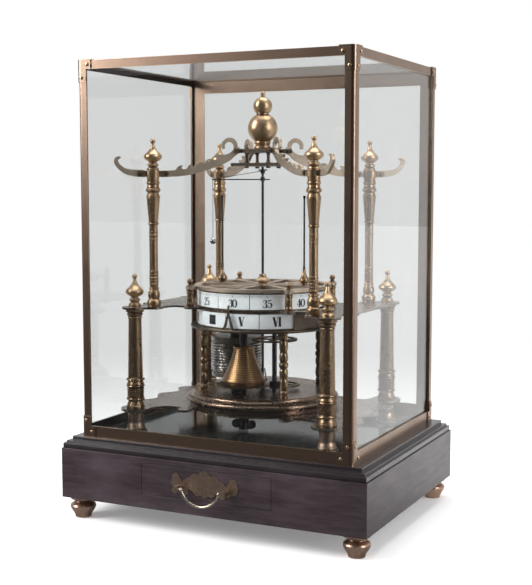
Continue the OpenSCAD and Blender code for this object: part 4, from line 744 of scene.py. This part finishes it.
def smoothStroke(stroke, steps=5):
    p = [Vector(q) for q in stroke]
    if len(p) < 3 or len(p) > 20:
        return p
    out = []
    for i in range(len(p) - 1):
        a, b, c, d = p[max(i - 1, 0)], p[i], p[i + 1], p[min(i + 2, len(p) - 1)]
        for k in range(steps):
            t = k / steps
            square = (2 * a - 5 * b + 4 * c - d) * t * t
            cube = (3 * b - a - 3 * c + d) * t ** 3
            out.append(0.5 * (2 * b + (c - a) * t + square + cube))
    return out + [p[-1]]


# Flat strokes gathered on the unrolled band: x runs round the ring, y up it
class PaintSheet:
    def __init__(self, ringRadius, thickness, weight):
        self.radius, self.thickness, self.weight = ringRadius, thickness, weight
        self.points, self.faces = [], []

    def strip(self, line):
        base = len(self.points)
        for i, p in enumerate(line):
            way = (line[min(i + 1, len(line) - 1)] - line[max(i - 1, 0)]).to_2d().normalized()
            across = Vector((-way.y, way.x)) * p.z / 2
            for lift in (0, self.thickness):
                for sign in (1, -1):
                    x, y = p.x + sign * across.x, p.y + sign * across.y
                    angle = x / self.radius
                    r = self.radius + lift
                    self.points.append(Vector((r * math.cos(angle), r * math.sin(angle), y)))
        for i in range(len(line) - 1):
            a, b = base + 4 * i, base + 4 * i + 4
            self.faces += [(a + 2, a + 3, b + 3, b + 2), (a, b, b + 1, a + 1)]
            self.faces += [(a, a + 2, b + 2, b), (a + 1, b + 1, b + 3, a + 3)]
        end = base + 4 * (len(line) - 1)
        self.faces += [(base, base + 1, base + 3, base + 2), (end, end + 2, end + 3, end + 1)]

    def word(self, text, angle, low, height, squeeze=1.0, gap=0.62):
        widths = [advance.get(c, gap) * height * squeeze for c in text]
        x = self.radius * math.radians(angle) - sum(widths) / 2
        for c, width in zip(text, widths):
            centre = x + width / 2
            for stroke in glyphs[c]:
                line = []
                for p in smoothStroke(stroke):
                    across, up = centre + p.x * height * squeeze, low + p.y * height
                    line.append(Vector((across, up, p.z * height * self.weight)))
                self.strip(line)
            x += width

    def arc(self, fromAngle, toAngle, z, width, steps):
        line = []
        for i in range(steps + 1):
            angle = math.radians(fromAngle + (toAngle - fromAngle) * i / steps)
            line.append(Vector((self.radius * angle, z, width)))
        self.strip(line)

    def bar(self, angle, low, high, width):
        x = self.radius * math.radians(angle)
        self.strip([Vector((x, low, width)), Vector((x, high, width))])

    def piece(self, name):
        made = meshPiece(name, [p + dialSetup["middle"] for p in self.points], self.faces)
        made.data.flip_normals()
        bpy.ops.object.select_all(action="DESELECT")
        made.select_set(True)
        bpy.context.view_layer.objects.active = made
        bpy.ops.object.mode_set(mode="EDIT")
        bpy.ops.mesh.select_all(action="SELECT")
        bpy.ops.mesh.normals_make_consistent(inside=False)
        bpy.ops.object.mode_set(mode="OBJECT")
        return made


dialSetup = {
    "radius": 0.08302, "paint": 0.00008, "weight": 1.5, "middle": Vector((0, 0.008, 0)), "step": 30,
    "hourFirst": 278.0, "hourLow": 0.17, "hourTall": 0.64, "hourSqueeze": 0.82, "longSqueeze": 0.72,
    "minuteFirst": 269.8, "minuteLow": 0.12, "minuteTall": 0.54, "minuteSqueeze": 0.95,
    "track": (0.80, 0.90), "trackHalf": 14.4, "trackLine": 0.00016, "trackSteps": 12,
    "mark": 0.00022, "boldMark": 0.0009, "markStep": 6,
}
hourWords = ["V", "VI", "VII", "VIII", "IX", "X", "XI", "XII", "I", "II", "III", "IIII"]


def paintHours():
    s = dialSetup
    low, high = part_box("hour_enamels")
    sheet = PaintSheet(s["radius"], s["paint"], s["weight"])
    tall = high.z - low.z
    for i, word in enumerate(hourWords):
        angle = s["hourFirst"] + s["step"] * i
        squeeze = s["hourSqueeze"] if len(word) < 4 else s["longSqueeze"]
        sheet.word(word, angle, low.z + s["hourLow"] * tall, s["hourTall"] * tall, squeeze=squeeze)
    return sheet.piece("hourNumbers")


def paintMinutes():
    s = dialSetup
    low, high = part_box("minute_enamels")
    sheet = PaintSheet(s["radius"], s["paint"], s["weight"])
    tall = high.z - low.z
    track = [low.z + part * tall for part in s["track"]]
    lowest, height = low.z + s["minuteLow"] * tall, s["minuteTall"] * tall
    for i in range(12):
        angle = s["minuteFirst"] + s["step"] * i
        minute = (30 + 5 * i - 1) % 60 + 1
        sheet.word(str(minute), angle, lowest, height, squeeze=s["minuteSqueeze"])
        for z in track:
            sheet.arc(angle - s["trackHalf"], angle + s["trackHalf"], z, s["trackLine"], s["trackSteps"])
        for k in range(-2, 3):
            sheet.bar(angle + s["markStep"] * k, track[0], track[1], s["boldMark"] if k == 0 else s["mark"])
    return sheet.piece("minuteNumbers")


finishPiece(paintHours(), "numberPaint", "hour_ring", "white_enamel", smooth=0)
finishPiece(paintMinutes(), "numberPaint", "minute_ring", "white_enamel", smooth=0)
print("numbers painted")


# Floor, backdrop, lamps and sky. The studio is white behind the clock and dark on the camera's side
stageSetup = {
    "floorGrey": 0.95, "nearGlow": 0.22, "glowFrom": 0.45, "glowTo": 1.5,
    "darkFrom": -0.30, "lightFrom": 0.30, "darkSide": 0.05,
    "skyLight": 0.34, "skyGloss": 0.75, "skyDark": 0.035, "ceiling": 0.30,
    "floorSize": 14, "floorAt": (0, 3.0, 0),
}


# How a ray comes to the stage: seen straight or through glass, or by way of a shine on something
def rayKinds(tree):
    rays = tree.nodes.new("ShaderNodeLightPath")
    spread = mathNode(tree, "MINIMUM", rays.outputs["Diffuse Depth"], 1.0)
    shiny = mathNode(tree, "MINIMUM", rays.outputs["Glossy Depth"], 1.0)
    sharp = mathNode(tree, "SUBTRACT", 1.0, spread)
    glossy = mathNode(tree, "MULTIPLY", shiny, sharp)
    direct, glassed = rays.outputs["Is Camera Ray"], rays.outputs["Is Transmission Ray"]
    through = mathNode(tree, "ADD", direct, glassed, clamp=True)
    straight = mathNode(tree, "MULTIPLY", through, mathNode(tree, "SUBTRACT", 1.0, shiny))
    shown = mathNode(tree, "MULTIPLY", straight, sharp)
    return shown, glossy


def mapRange(tree, value, fromMin, fromMax, toMin, toMax):
    node = addNode(tree, "ShaderNodeMapRange", From_Min=fromMin, From_Max=fromMax, To_Min=toMin, To_Max=toMax)
    tree.links.new(value, node.inputs["Value"])
    return node.outputs[0]


def makeFloor():
    s = stageSetup
    bpy.ops.mesh.primitive_plane_add(size=s["floorSize"], location=s["floorAt"])
    floor = bpy.context.object
    floor.name = "studioFloor"
    material, tree, surface = startMaterial("studioFloor")
    surface.inputs["Roughness"].default_value = 0.9
    surface.inputs["Specular IOR Level"].default_value = 0.1
    surface.inputs["Emission Color"].default_value = (1, 1, 1, 1)
    geometry = tree.nodes.new("ShaderNodeNewGeometry")
    reach = addNode(tree, "ShaderNodeVectorMath", operation="LENGTH")
    tree.links.new(geometry.outputs["Position"], reach.inputs[0])
    behind = axisOf(tree, geometry.outputs["Position"], "Y")
    away = mapRange(tree, reach.outputs["Value"], s["glowFrom"], s["glowTo"], 0.0, 1.0)
    dark = mapRange(tree, behind, s["darkFrom"], s["lightFrom"], 1.0 - s["darkSide"], 0.0)
    shown, glossy = rayKinds(tree)
    kept = mathNode(tree, "SUBTRACT", 1.0, mathNode(tree, "MULTIPLY", dark, glossy))
    grey = mathNode(tree, "MULTIPLY", mathNode(tree, "SUBTRACT", 1.0, away), s["floorGrey"])
    tree.links.new(mathNode(tree, "MULTIPLY", grey, kept), surface.inputs["Base Color"])
    glow = mathNode(tree, "ADD", mathNode(tree, "MULTIPLY", away, 1.0 - s["nearGlow"]), s["nearGlow"])
    seen = mathNode(tree, "ADD", shown, glossy)
    strength = mathNode(tree, "MULTIPLY", mathNode(tree, "MULTIPLY", glow, kept), seen)
    tree.links.new(strength, surface.inputs["Emission Strength"])
    floor.data.materials.append(material)


def makeSky():
    s = stageSetup
    world = bpy.data.worlds.new("studioSky")
    bpy.context.scene.world = world
    world.use_nodes = True
    tree = world.node_tree
    back = tree.nodes["Background"]
    back.inputs["Color"].default_value = (1, 1, 1, 1)
    way = tree.nodes.new("ShaderNodeTexCoord")
    behind, up = [axisOf(tree, way.outputs["Generated"], axis) for axis in "YZ"]
    wall = mapRange(tree, behind, -0.1, 0.35, s["skyDark"], s["skyGloss"])
    above = mapRange(tree, up, 0.55, 0.8, 0.0, s["ceiling"])
    shown, glossy = rayKinds(tree)
    bright = mathNode(tree, "MULTIPLY", glossy, mathNode(tree, "MAXIMUM", wall, above))
    plain = mathNode(tree, "MULTIPLY", mathNode(tree, "SUBTRACT", 1.0, glossy), s["skyLight"])
    level = mathNode(tree, "ADD", bright, plain)
    tree.links.new(mathNode(tree, "MAXIMUM", shown, level), back.inputs["Strength"])


lampSetup = {
    "keyLamp": dict(place=(-1.3, -1.1, 1.2), aim=(0, 0, 0.3), size=(0.7, 1.3), power=38),
    "topLamp": dict(place=(0.0, 0.4, 2.1), aim=(0, 0, 0.2), size=(1.4, 1.2), power=30),
    "sideLamp": dict(place=(1.7, -0.4, 0.9), aim=(0, 0, 0.3), size=(0.4, 1.4), power=16),
}


def addLamp(name, place, aim, size, power):
    bpy.ops.object.light_add(type="AREA", location=place)
    lamp = bpy.context.object
    lamp.name = name
    lamp.data.shape = "RECTANGLE"
    lamp.data.size, lamp.data.size_y = size
    lamp.data.energy = power
    lamp.rotation_euler = (Vector(aim) - Vector(place)).to_track_quat("-Z", "Y").to_euler()


makeFloor()
makeSky()
for lampName, lampValues in lampSetup.items():
    addLamp(lampName, **lampValues)
print("stage and lamps made")
